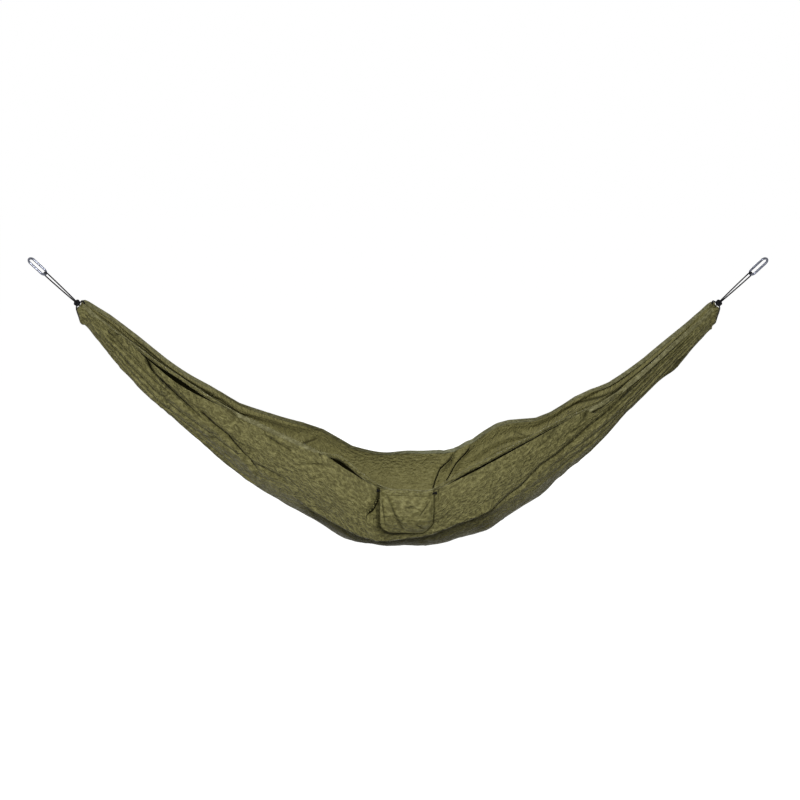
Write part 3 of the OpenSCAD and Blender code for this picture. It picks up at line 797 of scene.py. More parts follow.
def crush_cloth(out):
    """Short creases in and out at random, most of them along the bed."""
    rng = np.random.default_rng(29)
    for k in range(crushed_creases):
        middle = rng.uniform(0.02, cloth_way[-1] - 0.02), rng.uniform(0.03, 0.97)
        lean = rng.normal(0, 0.5) if k % 5 < 3 else rng.uniform(-math.pi / 2, math.pi / 2)
        length, half = rng.uniform(0.03, 0.16), rng.uniform(4.5, 10.0) * mm
        height = rng.choice([-1, 1]) * rng.uniform(1.0, 3.4) * mm
        lo, hi = np.searchsorted(cloth_way, (middle[0] - length, middle[0] + length))
        dx = grid_way[lo:hi] - middle[0]
        dy = run_s[lo:hi] - middle[1] * bed_arc[lo:hi, None]
        t = (dx * math.cos(lean) + dy * math.sin(lean)) / length
        gap = dy * math.cos(lean) - dx * math.sin(lean) + 0.006 * np.sin(3 * t + k)
        ends = np.clip(1 - (2 * t) ** 2, 0, 1)
        out[lo:hi] += calm[lo:hi] * height * ends * np.exp(-np.abs(gap) / half)
        if height < 0:
            # painted shade: a dark line along the groove
            mark_crease(gap / mm, -180 * height * ends, slice(lo, hi))


def roll_low_fold(out, fold):
    """The low fold of the near wall, under which the cloth turns away; a dark line of painted shade runs
    along it, and painted shade darkens the cloth below it.
    """
    s = (bed_v - line_share(ridge_line, grid_x)) * bed_arc[:, None]
    strength = fade(ridge_line, grid_x, 0.09)
    out += ridge_high * strength * (np.exp(-np.abs(s / 0.015) ** 1.3) - np.exp(-((s - 0.032) / 0.022) ** 2))
    mark_crease((s - 0.006) / mm, 0.95 * strength)
    # painted shade under the fold, darker towards the left
    dusk = 0.44 + 0.22 * (1 - smoothstep(1.20, 1.40, grid_x))
    below = smoothstep(0.006, 0.02, s) * (1 - smoothstep(0.07, 0.18, s))
    return np.maximum(fold, dusk * strength * below)


press_creases(out, slide)
gather_ends(out)
wave_cloth(out)
crush_cloth(out)
fold = roll_low_fold(out, fold)

# ---------------------------------------------------------------- painted shade round the sack
# a dark line and a painted shadow run along the sack's sides and its bottom, on the outer side of the wall
# only; the line also presses a groove into the bump

inner_fold, inner_gap, inner_depth = fold.copy(), crease_gap.copy(), crease_depth.copy()


def corner_pull(s, v):
    """How far the sack's lower corners lie from square: the right one rounder, the left one sharper."""
    right, left = smoothstep(0.40, 1.0, s) * v ** 2, smoothstep(-0.55, -1.0, s) * v ** 2
    return (1.0 * left - 4.0 * right) * mm, (9.0 * right - 2.0 * left) * mm


def sack_outline():
    """The sides and the bottom of the sack as (x, z) points, from its top left to its top right."""
    rows = stations("sack_back")
    line = [(x, ring[:, 1].min() - 1 * mm) for x, ring in rows]
    top_left, top_right = (ring[:, 1].max() for _, ring in (rows[0], rows[-1]))
    left_x, right_x = line[0][0], line[-1][0]
    pulls = [corner_pull((2 * x - left_x - right_x) / (right_x - left_x), 1.0) for x, _ in line]
    line = [(x + dx, z + dz) for (x, z), (dx, dz) in zip(line, pulls)]
    line.insert(0, (line[0][0] - 2 * mm, top_left))
    line.append((line[-1][0] + 2 * mm, top_right))
    return np.array(line)


def beside_line(spots, line):
    """How far each spot lies from a line, and 1 or -1 where that is on the line's left or right."""
    beside = np.full(spots.shape[:2], 1.0)
    hand = np.zeros(spots.shape[:2])
    for a, b in zip(line[:-1], line[1:]):
        run = b - a
        t = np.clip(((spots - a) @ run) / (run @ run), 0, 1)
        off = spots - a - t[..., None] * run
        apart = np.hypot(off[..., 0], off[..., 1])
        closer = apart < beside
        beside = np.where(closer, apart, beside)
        hand = np.where(closer, np.sign(run[0] * off[..., 1] - run[1] * off[..., 0]), hand)
    return beside, hand


beside, inward = beside_line(smooth_bed[..., [0, 2]], sack_outline())
front_side = bed_v < 0.3
# painted shade: a dark line just outside the sack's edge, and a painted shadow round it
mark_crease(np.where(front_side, beside * inward / mm + 3.5, no_crease), 1.0 * front_side)
shadow = np.interp(grid_x, [1.15, 1.18, 1.28, 1.31], [12, 9, 9, 7]) * mm
fold = np.maximum(fold, front_side * 0.85 * np.exp(-(beside / shadow) ** 2))

# ---------------------------------------------------------------- pocket folds below the near hem
# the cloth below the hem stands forward as a lip and leaves a pocket behind it

# rows: place along X, then how far the hem rises and stands back and how deep the pocket goes, in mm
pocket_rows = np.array([
    (0.17, 0, 0, 0), (0.27, 0, 1, 0), (0.34, 10, 9, 7), (0.41, 19, 18, 13), (0.49, 29, 25, 20),
    (0.55, 22, 20, 15), (0.61, 12, 12, 9), (0.66, 4, 5, 3), (0.70, 0, 0, 0),
    (0.95, 0, 0, 0), (0.98, 11, 10, 8), (1.02, 33, 28, 22), (1.05, 27, 24, 18), (1.10, 15, 16, 11),
    (1.15, 8, 9, 6), (1.19, 0, 0, 0),
    (1.30, 0, 0, 0), (1.325, 9, 9, 6), (1.35, 14, 13, 9), (1.42, 22, 19, 13), (1.58, 16, 16, 11),
    (1.72, 14, 13, 9), (1.79, 6, 7, 4), (1.84, 0, 0, 0), (2.23, 0, 0, 0)])
rise, back, deep = (np.interp(bed_x, pocket_rows[:, 0], pocket_rows[:, k]) * mm for k in (1, 2, 3))
soft = np.exp(-np.linspace(-2, 2, 9) ** 2)
soft /= soft.sum()
rise, back, deep = (np.convolve(np.pad(a, 4, mode="edge"), soft, "valid") for a in (rise, back, deep))
pocket = smoothstep(0, 5 * mm, back)

# the fold's section, from the hem (0) to the end of the edge rows (1): back, down below the hem and deep
q = np.linspace(0, 1, edge_rows)
shape_q = np.array([0, .09, .15, .24, .36, .46, .54, .64, .76, .86, 1.0])
way_back = np.array([.02, .10, .55, .95, 1, .86, .52, .22, .04, -.08, 0])
way_down = np.array([0, 9.5, 11, 14, 0, 0, 0, 0, 0, 0, 0]) * mm
most_down = np.array([0, .45, .55, .75, 0, 0, 0, 0, 0, 0, 0])
way_deep = np.array([0, 0, 0, 0, -.45, -1, -.92, -.55, -.12, 0, 0])


def up_down(rise, deep):
    """Height of the fold's path above the lip for each edge row."""
    down = np.minimum(way_down, rise * most_down)
    knots = np.where(np.arange(len(shape_q)) < 4, rise - down, way_deep * deep)
    return np.interp(q, shape_q, knots)


def fold_edge(bed, fold, inner_fold):
    """Lay the cloth's edge rows along the section of each pocket fold, and paint shade into the pocket."""
    tangent = downward[:, edge_rows // 2]
    outwards = unit(outward[:, edge_rows // 2])
    tail = smoothstep(0.84, 1.0, q)[:, None]
    for i in np.nonzero(pocket >= 1e-3)[0]:
        lip = smooth_bed[i, 0] + 0.28 * rise[i] * tangent[i]
        path = (lip - np.interp(q, shape_q, way_back)[:, None] * back[i] * outwards[i]
                - up_down(rise[i], deep[i])[:, None] * tangent[i])
        path = path * (1 - tail) + smooth_bed[i, :edge_rows] * tail
        bed[i, :edge_rows] = smooth_bed[i, :edge_rows] * (1 - pocket[i]) + path * pocket[i]
        # painted shade inside the pocket, on both sides of the cloth
        shade = pocket[i] * smoothstep(0.12, 0.2, q) * (1 - smoothstep(0.62, 0.8, q))
        fold[i, :edge_rows] = np.maximum(fold[i, :edge_rows], shade)
        inner_fold[i, :edge_rows] = np.maximum(inner_fold[i, :edge_rows], shade)


bed = smooth_bed.copy()
fold_edge(bed, fold, inner_fold)
keep = 1 - pocket[:, None] * (1 - smoothstep(edge_rows - 6, edge_rows + 3, np.arange(across_count))[None])
bed = bed + outward * (out * keep)[..., None] - downward * (slide * keep)[..., None]

# ---------------------------------------------------------------- heights and ends of the bed

# how far the far hem, and the cloth low on the near side, lie above or below an even curve:
# place along X, and height in mm
far_hem_heights = np.array([
    (0.17, 0), (0.25, 4), (0.42, -5), (0.60, -5), (0.66, -12), (0.87, 12), (0.94, 12), (1.04, -12),
    (1.22, 1), (1.32, 4), (1.38, -5), (1.46, -6), (1.54, 9), (1.58, 5), (1.67, -20), (1.72, -18),
    (1.80, 1), (1.85, 3), (1.91, -6), (2.02, -6), (2.18, 8), (2.23, 4)])
near_belly_heights = np.array([
    (0.17, 2), (0.34, -11), (0.40, -10), (0.56, 7), (0.66, 11), (0.80, 11), (0.90, 15), (0.96, 12),
    (1.06, -11), (1.14, -8), (1.22, 2), (1.30, 4), (1.50, 3), (1.54, 9), (1.66, -10), (1.72, -6),
    (1.80, -6), (2.08, 8), (2.16, 4), (2.23, 5)])
far_lift, low_lift = (np.interp(bed_x, t[:, 0], t[:, 1])[:, None] * mm
                      for t in (far_hem_heights, near_belly_heights))
bed[..., 2] += far_lift * smoothstep(0.78, 0.97, bed_v)
bed[..., 2] += low_lift * smoothstep(0.08, 0.22, bed_v) * (1 - smoothstep(0.42, 0.66, bed_v))

# the bunched ends are drawn up to the knots
up_row = (bed[..., 2] - bed[..., 2].min(1, keepdims=True)) / np.ptp(bed[..., 2], axis=1, keepdims=True)
left_lift = 16 * mm * np.exp(-((bed_x - bed_start) / 0.070) ** 2)
right_lift = 9 * mm * np.exp(-((bed_end - bed_x) / 0.040) ** 2)
bed[..., 2] += (left_lift + right_lift)[:, None] * smoothstep(0.35, 1.0, up_row)

# round the ends of the cloth in over the channels: depth below the knot, and how far the cloth reaches
wrap_down = [0, 5, 9, 11.5, 14, 20, 32, 44, 52, 58, 66, 71, 75]
wrap_out = [9.4, 10.8, 13.6, 17.5, 22.2, 23.4, 20.4, 16.6, 15, 16, 13, 7, 1]
wrap_angles = np.radians([14, 28, 42, 56, 68, 78])
wrap_step = 3.5                      # mm on the cloth's map, from row to row


def wrap_end(row, sign):
    """Rows of points that carry an end row of the cloth in over its channel."""
    height = (row[:, 2] - knot_at[2]) / mm
    reach = np.interp(-height, wrap_down, wrap_out) * mm
    closing = smoothstep(-76, -70, height)
    rows = np.repeat(row[None], len(wrap_angles), 0)
    for wrapped, angle in zip(rows, wrap_angles):
        wrapped[:, 0] += sign * reach * math.sin(angle)
        wrapped[:, 1] *= 1 - closing * (1 - math.cos(angle))
    return rows


full_bed = np.concatenate([wrap_end(bed[0], -1)[::-1], bed, wrap_end(bed[-1], 1)])
pad = ((len(wrap_angles), len(wrap_angles)), (0, 0))
cloth_marks = {}
for key, sides in (("fold", (fold, inner_fold)), ("crease_gap", (crease_gap, inner_gap)),
                   ("crease_depth", (crease_depth, inner_depth))):
    cloth_marks[key] = tuple(np.pad(side, pad, mode="edge") for side in sides)

# the cloth's map: metres along the near wall, and metres from the near hem, round its pocket folds
edge_run = np.array([run_along(row) for row in bed[:, :edge_rows]])
cloth_run = run_s.copy()
cloth_run[:, :edge_rows] = edge_run - edge_run[:, -1:] + run_s[:, edge_rows - 1:edge_rows]
wrap_way = np.arange(1, len(wrap_angles) + 1) * wrap_step * mm
full_way = np.concatenate([-wrap_way[::-1], cloth_way, cloth_way[-1] + wrap_way])
cloth_uv = map_pairs(full_way[:, None], np.pad(cloth_run, pad, mode="edge"))
if np.mean(np.einsum("ijk,ijk->ij", grid_normals(bed), outward)) < 0:
    full_bed, cloth_uv = full_bed[::-1], cloth_uv[::-1]
    cloth_marks = {key: tuple(side[::-1] for side in sides) for key, sides in cloth_marks.items()}
bed_thick = 0.8 * mm
cloth = add_cloth("bed_cloth", full_bed, bed_thick, cloth_uv, cloth_marks, bed_nylon)
dress(cloth, "bed", "bed_nylon", "near_panel", "middle_panel", "far_panel")

# ---------------------------------------------------------------- hems

hem_tall, hem_thick = 13.0, 2.3
hem_stitch_down = 10.4 * mm              # from the edge of the cloth to the stitches
puff_pitch = 8.6 * mm
# half of a hem strip's section: mm down from the edge of the cloth, and share of the half thickness
hem_half = [(-0.9, .62), (0, .95), (1.2, 1.0), (4, .82), (8, .86), (11.6, 1.0), (12.6, .7)]
hem_section = [(-1.2, 0)] + [(a, -b) for a, b in hem_half] + [(12.9, 0)] + hem_half[::-1]


def smooth_rows(v, count):
    """Each column of v averaged over a soft window of count rows."""
    window = np.hanning(count)
    window /= window.sum()
    return np.column_stack([np.convolve(np.pad(column, count // 2, mode="edge"), window, "valid")
                            for column in v.T])


def add_hem(name, edge, inner, far_side, seed):
    """A folded strip along an edge of the cloth; inner is a line a little way into the cloth.
    Returns the strip, the line of its stitches and the way that the strip faces there."""
    fine = np.linspace(0, len(edge) - 1, 900)
    edge, inner = catmull(edge, fine), catmull(inner, fine)
    along = unit(np.gradient(edge, axis=0))
    down = inner - edge
    down = unit(down - (down * along).sum(1, keepdims=True) * along)
    down = unit(smooth_rows(down, 15))
    face = unit(np.cross(along, down)) * (-1 if far_side else 1)
    run = run_along(edge)
    wave = 0.5 * value_noise(run, 0, 0.016, seed) + 0.8 * value_noise(run, 0, 0.06, seed + 1)
    puffs = 0.22 * np.sin(2 * math.pi * run / puff_pitch + seed)
    rings = []
    for a, b in hem_section:
        thick = b * hem_thick / 2 * (1 + puffs * math.exp(-((a - 5) / 4) ** 2))
        rings.append(edge + down * (a * mm) + face * ((thick + wave * a / hem_tall)[:, None] * mm))
    size = len(hem_section)
    faces = tube_faces(len(run), size, turn=not far_side)
    uv = map_pairs(run[:, None], run_along(np.array(hem_section))[None] * mm)
    # painted highlight: the far hem is painted lighter in the middle, where it catches the light, and a
    # little lighter all along
    far_hem_highlight = (0.85 * np.exp(-((edge[:, 0] - 1.33) / 0.17) ** 2) + 0.10) * far_side
    marks = {"fold": np.zeros(len(run) * size), "painted_light_share": np.repeat(far_hem_highlight, size)}
    hem = add_mesh(name, np.stack(rings, 1), faces, uv, marks, hem_nylon)
    return hem, edge + down * hem_stitch_down, face


near_hem, *near_hem_line = add_hem("near_hem_strip", bed[:, 0], bed[:, 4], False, 21)
far_hem, *far_hem_line = add_hem("far_hem_strip", bed[:, -1], bed[:, -3], True, 31)
dress(near_hem, "bed", "hem_nylon", "near_hem")
dress(far_hem, "bed", "hem_nylon", "far_hem")

# ---------------------------------------------------------------- end channels

channel_top, channel_tall = -5, 54      # mm from the knot's middle, and how tall the bunch is
channel_in = 22 * mm                    # from the knot's middle to the channel's, along X
most_wide = 10.2                        # mm, the radius that no pleat passes
bore_r, bore_rows = 2.7 * mm, 6
turns, levels = 96, 44
angle = np.linspace(0, 2 * math.pi, turns, endpoint=False)
down = np.linspace(0, 1, levels)[:, None]


def add_end_channel(side, puff):
    """The pleated bunch round the cord, open along its bore; puff is how far its pleats stand out."""
    pleat = np.abs(np.sin(angle * 7 + 0.5 * np.sin(3 * angle) + 0.35 * np.sin(9 * down)))
    frill = np.exp(-down / 0.08) + np.exp(-(1 - down) / 0.08)
    radius = 8.5 + 1.15 * pleat * puff + 0.25 * frill * np.sin(angle * 14)
    radius = np.minimum(radius, most_wide) * mm
    height = np.broadcast_to((channel_top - channel_tall * down) * mm, radius.shape)
    outer = np.stack([radius * np.cos(angle), radius * np.sin(angle), height], -1)
    lip_top = outer[:1] * [0.80, 0.80, 1] + [0, 0, 1.0 * mm]
    lip_low = outer[-1:] * [0.80, 0.80, 1] - [0, 0, 1.0 * mm]
    bore_z = np.linspace(channel_top - channel_tall + 0.6, channel_top - 0.6, bore_rows)[:, None] * mm
    bore = np.stack(np.broadcast_arrays(bore_r * np.cos(angle), bore_r * np.sin(angle), bore_z), -1)
    grid = np.concatenate([lip_top, outer, lip_low, bore]) + knot_at + [channel_in, 0, 0]
    faces = grid_faces(len(grid), turns, wrap_rows=True, wrap_cols=True, turn=side == "left")
    uv = map_pairs(angle * 0.02, np.linspace(0, 0.12, len(grid))[:, None])
    lip = np.zeros((1, turns))
    # painted shade: the pleats' hollows are painted dark, and the bore black
    pleat_shade = np.concatenate([lip, (1 - pleat) ** 3, lip, np.ones((bore_rows, turns))])
    sleeve = add_mesh(side + "_end_channel", at_side(grid.reshape(-1, 3), side), faces, uv,
                      {"fold": pleat_shade}, bed_nylon)
    dress(sleeve, "bed", "bed_nylon", side + "_sleeve")


add_end_channel("left", 1.0)
add_end_channel("right", 1.12)

# ---------------------------------------------------------------- stuff sack

sack_thick = 0.9 * mm


def sack_grid(name, count_x, count_z):
    """The middle surface of a sack cloth: places along X, then from its top down."""
    places, lines = [], []
    for x, ring in stations(name):
        ring = ring[np.lexsort((ring[:, 0], -ring[:, 1].round(5)))]
        places.append(x)
        lines.append((ring[0::2] + ring[1::2]) / 2)
    places, lines = np.array(places), np.array(lines)
    t = np.linspace(0, len(places) - 1, count_x)
    lines = catmull(lines, t)
    rows = np.stack([catmull(line, np.linspace(0, len(line) - 1, count_z)) for line in lines])
    xs = np.interp(t, np.arange(len(places)), places)
    return np.concatenate([np.broadcast_to(xs[:, None, None], rows.shape[:2] + (1,)), rows], -1)


def sack_places(grid):
    """From -1 at a cloth's left side to 1 at its right one, and from 0 at its mouth to 1 at its bottom."""
    return np.linspace(-1, 1, grid.shape[0])[:, None], np.linspace(0, 1, grid.shape[1])[None]


# folds of the sack: two ends as (s, v), then depth in mm and half width as a share of the sack
sack_folds = (((-.72, .05), (-.10, .95), 6.5, .090), ((.90, .10), (.42, .52), 2.2, .05),
              ((-.95, .10), (-.80, .90), 3.4, .06), ((.72, .92), (.30, .70), 2.2, .06),
              ((-.10, .30), (.35, .22), 1.2, .05), ((-.55, .50), (-.05, .80), 1.4, .05))
most_in = 7 * mm


def crumple(front):
    """Fold, pleat and crumple the front cloth; returns the painted shade along its folds."""
    s_at, v_at = sack_places(front)
    grain_x, grain_z = front[..., 0], front[..., 2]
    push = np.zeros(front.shape[:2])
    sack_fold_shade = np.zeros(front.shape[:2])
    border = smoothstep(0, 0.10, 1 - np.abs(s_at)) * smoothstep(0, 0.05, v_at)
    border = border * smoothstep(0, 0.12, 1 - v_at)        # 0 at the seams, 1 inside them
    for a, b, depth, half in sack_folds:
        way_s, way_v = b[0] - a[0], b[1] - a[1]
        t = ((s_at - a[0]) * way_s + (v_at - a[1]) * way_v) / (way_s ** 2 + way_v ** 2)
        t = np.clip(t, 0, 1)
        gap = np.hypot(s_at - a[0] - t * way_s, v_at - a[1] - t * way_v)
        swell = np.sin(math.pi * (0.1 + 0.8 * t))
        push -= depth * mm * np.exp(-(gap / half) ** 1.5) * (0.35 + 0.65 * swell)
        # painted shade along each fold
        sack_fold_shade = np.maximum(sack_fold_shade, 0.7 * np.exp(-(gap / (half * 0.45)) ** 2) * swell)
    pleats = np.sin(s_at * 34 + 2.2 * np.sin(s_at * 5)) * np.exp(-v_at / 0.13)
    push += 0.9 * mm * pleats * (1 - s_at ** 4)
    push += border * 1.3 * mm * value_noise(grain_x, grain_z, 0.035, 61)
    push += border * 0.7 * mm * (1 - 2 * np.abs(value_noise(grain_x, grain_z, 0.014, 62)))
    beside_fold = (s_at + 0.72) * 0.90 - (v_at - 0.05) * 0.62
    push -= 3.0 * mm * border * smoothstep(0.10, -0.02, beside_fold)
    front[..., 1] -= np.maximum(push * np.minimum(border + 0.25, 1), -most_in)
    return sack_fold_shade


front = sack_grid("sack_front", 121, 97)
back_cloth = sack_grid("sack_back", 61, 49)
for grid in (front, back_cloth):
    pull_x, pull_z = corner_pull(*sack_places(grid))
    grid[..., 0] += pull_x
    grid[..., 2] += pull_z
sack_fold_shade = crumple(front)
mouth = np.array([(x, *ring.mean(0)) for x, ring in stations("drawcord")])


def facing_out(grid, *extra):
    """Turned so that its normals face the near side."""
    if grid_normals(grid)[..., 1].mean() > 0:
        return (grid[::-1], *(e[::-1] for e in extra))
    return (grid, *extra)


def add_sack_cloth(name, grid, folds):
    grid, folds = facing_out(grid, folds)
    return add_cloth(name, grid, sack_thick, grid[..., [0, 2]], {"fold": folds}, sack_nylon)


sack_front = add_sack_cloth("sack_front_cloth", front, sack_fold_shade)
sack_back = add_sack_cloth("sack_back_cloth", back_cloth, np.zeros(back_cloth.shape[:2]))


def add_sack_channel():
    """The channel along the mouth, gathered on its drawcord, with its ends tucked in."""
    inset = (mouth[-1, 0] - mouth[0, 0]) * 0.026
    channel_x = np.linspace(mouth[0, 0] + inset, mouth[-1, 0] - inset, 181)
    line = catmull(mouth, np.linspace(0, len(mouth) - 1, len(channel_x)))
    middle = np.column_stack([channel_x] + [np.interp(channel_x, line[:, 0], line[:, k]) for k in (1, 2)])
    turn = np.linspace(0, 2 * math.pi, 24, endpoint=False)
    ripple = 0.30 * np.sin(channel_x * 900 + 2 * np.sin(channel_x * 130))
    ripple += 0.25 * value_noise(channel_x, 0, 0.009, 71)
    tall = (5.9 + 0.25 * ripple)[:, None] * np.sign(np.sin(turn)) * np.abs(np.sin(turn)) ** 0.8
    deep = (2.1 + 0.55 * ripple)[:, None] * np.sign(np.cos(turn)) * np.abs(np.cos(turn)) ** 0.75
    rings = middle[:, None] + np.stack([0 * tall, deep, tall], -1) * mm
    caps = []
    for ring, centre, sign in ((rings[0], middle[0], 1), (rings[-1], middle[-1], -1)):
        inwards = [sign * 2.5 * mm, 0, 0]
        rim = centre + (ring - centre) * [1, 0.62, 0.30]
        caps.append(np.array([rim, rim + inwards, centre + (ring - centre) * [1, 0.5, 0.18] + inwards]))
    grid = np.concatenate([caps[0][::-1], rings, caps[1]])
    uv = map_pairs(np.arange(len(grid))[:, None] * 0.9 * mm, turn[None] * 5 * mm)
    channel_end_shade = np.zeros(grid.shape[:2])
    # painted shade: the tucked-in ends are painted dark
    channel_end_shade[:3] = channel_end_shade[-3:] = 1
    faces = tube_faces(len(grid), len(turn), turn=True)
    return add_mesh("sack_drawcord_channel", grid, faces, uv, {"fold": channel_end_shade}, sack_nylon)


tape_wide, tape_thick = 2.2 * mm, 1.5 * mm
tape_section = ((-1, -.55), (-.55, -1), (.55, -1), (1, -.55), (1, .55), (.55, 1), (-.55, 1), (-1, .55))


def add_sack_seam():
    """The bound seam round the sides and the bottom, a tape folded over the edge; and its path."""
    path = np.concatenate([front[0], front[1:-1, -1], front[-1, ::-1]])
    path = smooth_path(path[::6], 1.6 * mm) + [0, 0.7 * mm, 0]
    outwards = unit(np.cross(np.gradient(path, axis=0), [0, 1.0, 0]))
    grid = np.stack([path + outwards * a * tape_wide + [0, b * tape_thick, 0] for a, b in tape_section], 1)
    room = 1.2 * mm
    grid[..., 0] = np.clip(grid[..., 0], front[..., 0].min() - room, front[..., 0].max() + room)
    faces = tube_faces(len(grid), len(tape_section))
    uv = map_pairs(run_along(path)[:, None], np.arange(len(tape_section)) * 1.4 * mm)
    seam_shade = np.broadcast_to([1, .25, .1, .5, .8, 1, 1, 1.0], grid.shape[:2])
    seam = add_mesh("sack_bound_seam", grid, faces, uv, {"fold": seam_shade}, sack_nylon)
    return seam, path


sack_channel = add_sack_channel()
sack_seam, seam_path = add_sack_seam()

string = smooth_path(mouth, 1.2 * mm)
drawcord = add_cord("sack_drawcord", string, drawcord_d, thin_cord, 12)
small_cord = drawcord_d * 0.72        # the knots' cord, drawn tight
small_knot_r = 5.5 * mm
small_knot_out = 5.8 * mm             # from the cord's end to the knot's middle
small_knots = []
for side, k, sign in (("left", 0, -1), ("right", -1, 1)):
    route = turned(trefoil(small_knot_r, small_cord, 96), math.pi / 2, X)
    route = turned(route, math.radians(-30 * sign), Y) + mouth[k] + [sign * small_knot_out, 0, 0]
    small_knots.append(add_cord("sack_cord_knot_" + side, route, small_cord, thin_cord, 10, closed=True))
dress(sack_front, "stuff_sack", "sack_nylon", "sack_front")
dress(sack_back, "stuff_sack", "sack_nylon", "sack_back")
dress(sack_channel, "stuff_sack", "sack_nylon", "sack_channel")
dress(sack_seam, "stuff_sack", "sack_nylon")
dress(drawcord, "stuff_sack", "black_cord", "drawcord")
dress(small_knots[0], "stuff_sack", "black_cord", "drawcord_knots")
dress(small_knots[1], "stuff_sack", "black_cord")


# ---------------------------------------------------------------- stitches

def stitch_tree():
    """Geometry Nodes: an oval stitch every Pitch along a line, lying on the cloth."""
    tree = bpy.data.node_groups.new("stitches_along_line", "GeometryNodeTree")
    tree.interface.new_socket("Line", in_out="INPUT", socket_type="NodeSocketGeometry")
    for key, value in (("Pitch", 4.4 * mm), ("Stitch Length", 3.2 * mm), ("Thread", 0.7 * mm)):
        tree.interface.new_socket(key, in_out="INPUT", socket_type="NodeSocketFloat").default_value = value
    tree.interface.new_socket("Finish", in_out="INPUT", socket_type="NodeSocketMaterial")
    tree.interface.new_socket("Stitches", in_out="OUTPUT", socket_type="NodeSocketGeometry")
    enter, leave = node(tree, "NodeGroupInput"), node(tree, "NodeGroupOutput")
    curve = node(tree, "GeometryNodeMeshToCurve")
    link(tree, enter.outputs["Line"], curve.inputs[0])
    points = node(tree, "GeometryNodeCurveToPoints", mode="LENGTH")
    link(tree, curve.outputs[0], points.inputs["Curve"])
    link(tree, enter.outputs["Pitch"], points.inputs["Length"])
    ball = node(tree, "GeometryNodeMeshIcoSphere")
    ball.inputs["Radius"].default_value = 0.5
    ball.inputs["Subdivisions"].default_value = 1

    # the stitch's long way follows the line, and its flat side the cloth
    facing = node(tree, "GeometryNodeInputNamedAttribute", data_type="FLOAT_VECTOR")
    facing.inputs["Name"].default_value = "face_dir"
    along = node(tree, "FunctionNodeAlignRotationToVector", axis="X")
    link(tree, points.outputs["Tangent"], along.inputs["Vector"])
    upright = node(tree, "FunctionNodeAlignRotationToVector", axis="Z", pivot_axis="X")
    link(tree, along.outputs[0], upright.inputs["Rotation"])
    link(tree, facing.outputs[0], upright.inputs["Vector"])
    size = node(tree, "ShaderNodeCombineXYZ")
    for k, key in enumerate(("Stitch Length", "Thread", "Thread")):
        link(tree, enter.outputs[key], size.inputs[k])
    place = node(tree, "GeometryNodeInstanceOnPoints")
    for key, value in (("Points", points.outputs["Points"]), ("Instance", ball.outputs["Mesh"]),
                       ("Rotation", upright.outputs[0]), ("Scale", size.outputs[0])):
        link(tree, value, place.inputs[key])
    real = node(tree, "GeometryNodeRealizeInstances")
    link(tree, place.outputs[0], real.inputs[0])
    finish = node(tree, "GeometryNodeSetMaterial")
    link(tree, real.outputs[0], finish.inputs["Geometry"])
    link(tree, enter.outputs["Finish"], finish.inputs["Material"])
    link(tree, finish.outputs[0], leave.inputs[0])
    return tree


stitches = stitch_tree()
stitch_inputs = {item.name: item.identifier for item in stitches.interface.items_tree
                 if item.in_out == "INPUT"}


def add_stitches(name, lines, body, slot, pitch=4.4 * mm, length=3.2 * mm, width=0.75 * mm):
    """lines is a list of (points, directions that the cloth faces)."""
    verts, edges, faces = [], [], []
    for points, facing in lines:
        start = len(verts)
        verts += points.tolist()
        faces += np.broadcast_to(facing, points.shape).ravel().tolist()
        edges += [(start + k, start + k + 1) for k in range(len(points) - 1)]
    mesh = bpy.data.meshes.new(name + "_line")
    mesh.from_pydata(verts, edges, [])
    mesh.attributes.new("face_dir", "FLOAT_VECTOR", "POINT").data.foreach_set("vector", faces)
    holder = bpy.data.objects.new(name + "_line", mesh)
    scene.collection.objects.link(holder)
    step = holder.modifiers.new("stitches", "NODES")
    step.node_group = stitches
    for key, value in (("Pitch", pitch), ("Stitch Length", length), ("Thread", width), ("Finish", thread)):
        step[stitch_inputs[key]] = value
    ready = holder.evaluated_get(bpy.context.evaluated_depsgraph_get())
    made = bpy.data.meshes.new_from_object(ready)
    co = np.empty(len(made.vertices) * 3)
    made.vertices.foreach_get("co", co)
    loops = np.empty(len(made.loops), int)
    made.loops.foreach_get("vertex_index", loops)
    layer = made.uv_layers.get("cloth_metres") or made.uv_layers.new(name="cloth_metres")
    layer.data.foreach_set("uv", co.reshape(-1, 3)[loops][:, [0, 2]].astype(np.float32).ravel())
    bpy.data.objects.remove(holder)
    piece = bpy.data.objects.new(name, made)
    scene.collection.objects.link(piece)
    return dress(piece, body, slot)


# how far the stitches stand off the middle of the cloth or tape that they go through
hem_stand, seam_stand, mouth_stand, tape_stand = 1.25 * mm, 0.55 * mm, 0.75 * mm, 1.65 * mm
seam_half = 3.2 * mm                     # half the way between the two rows of a long seam
inside = slice(12, -12)
hem_lines = [(points[inside] + facing[inside] * sign * hem_stand, facing[inside] * sign)
             for points, facing in (near_hem_line, far_hem_line) for sign in (1, -1)]
hem_stitches = add_stitches("hem_stitches", hem_lines, "bed", "hem_nylon")

outer_normal = grid_normals(bed)
if np.mean(np.einsum("ijk,ijk->ij", outer_normal, outward)) < 0:
    outer_normal = -outer_normal


def seam_row(seam_v, offset):
    """A row of stitches beside a long seam, and the way that the cloth faces there."""
    wanted = seam_v + offset / bed_arc
    points, normals = [], []
    for i in range(6, along_count - 6):
        at = np.interp(wanted[i], bed_v[i], np.arange(across_count))
        j, f = int(at), at - int(at)
        points.append(bed[i, j] * (1 - f) + bed[i, j + 1] * f)
        normals.append(outer_normal[i, j] * (1 - f) + outer_normal[i, j + 1] * f)
    normals = unit(np.array(normals))
    return np.array(points) + normals * seam_stand, normals


seam_lines = [seam_row(np.interp(bed_x, station_x, share), offset)
              for share in station_seam.T for offset in (-seam_half, seam_half)]
seam_stitches = add_stitches("seam_stitches", seam_lines, "bed", "bed_nylon", pitch=4.6 * mm)

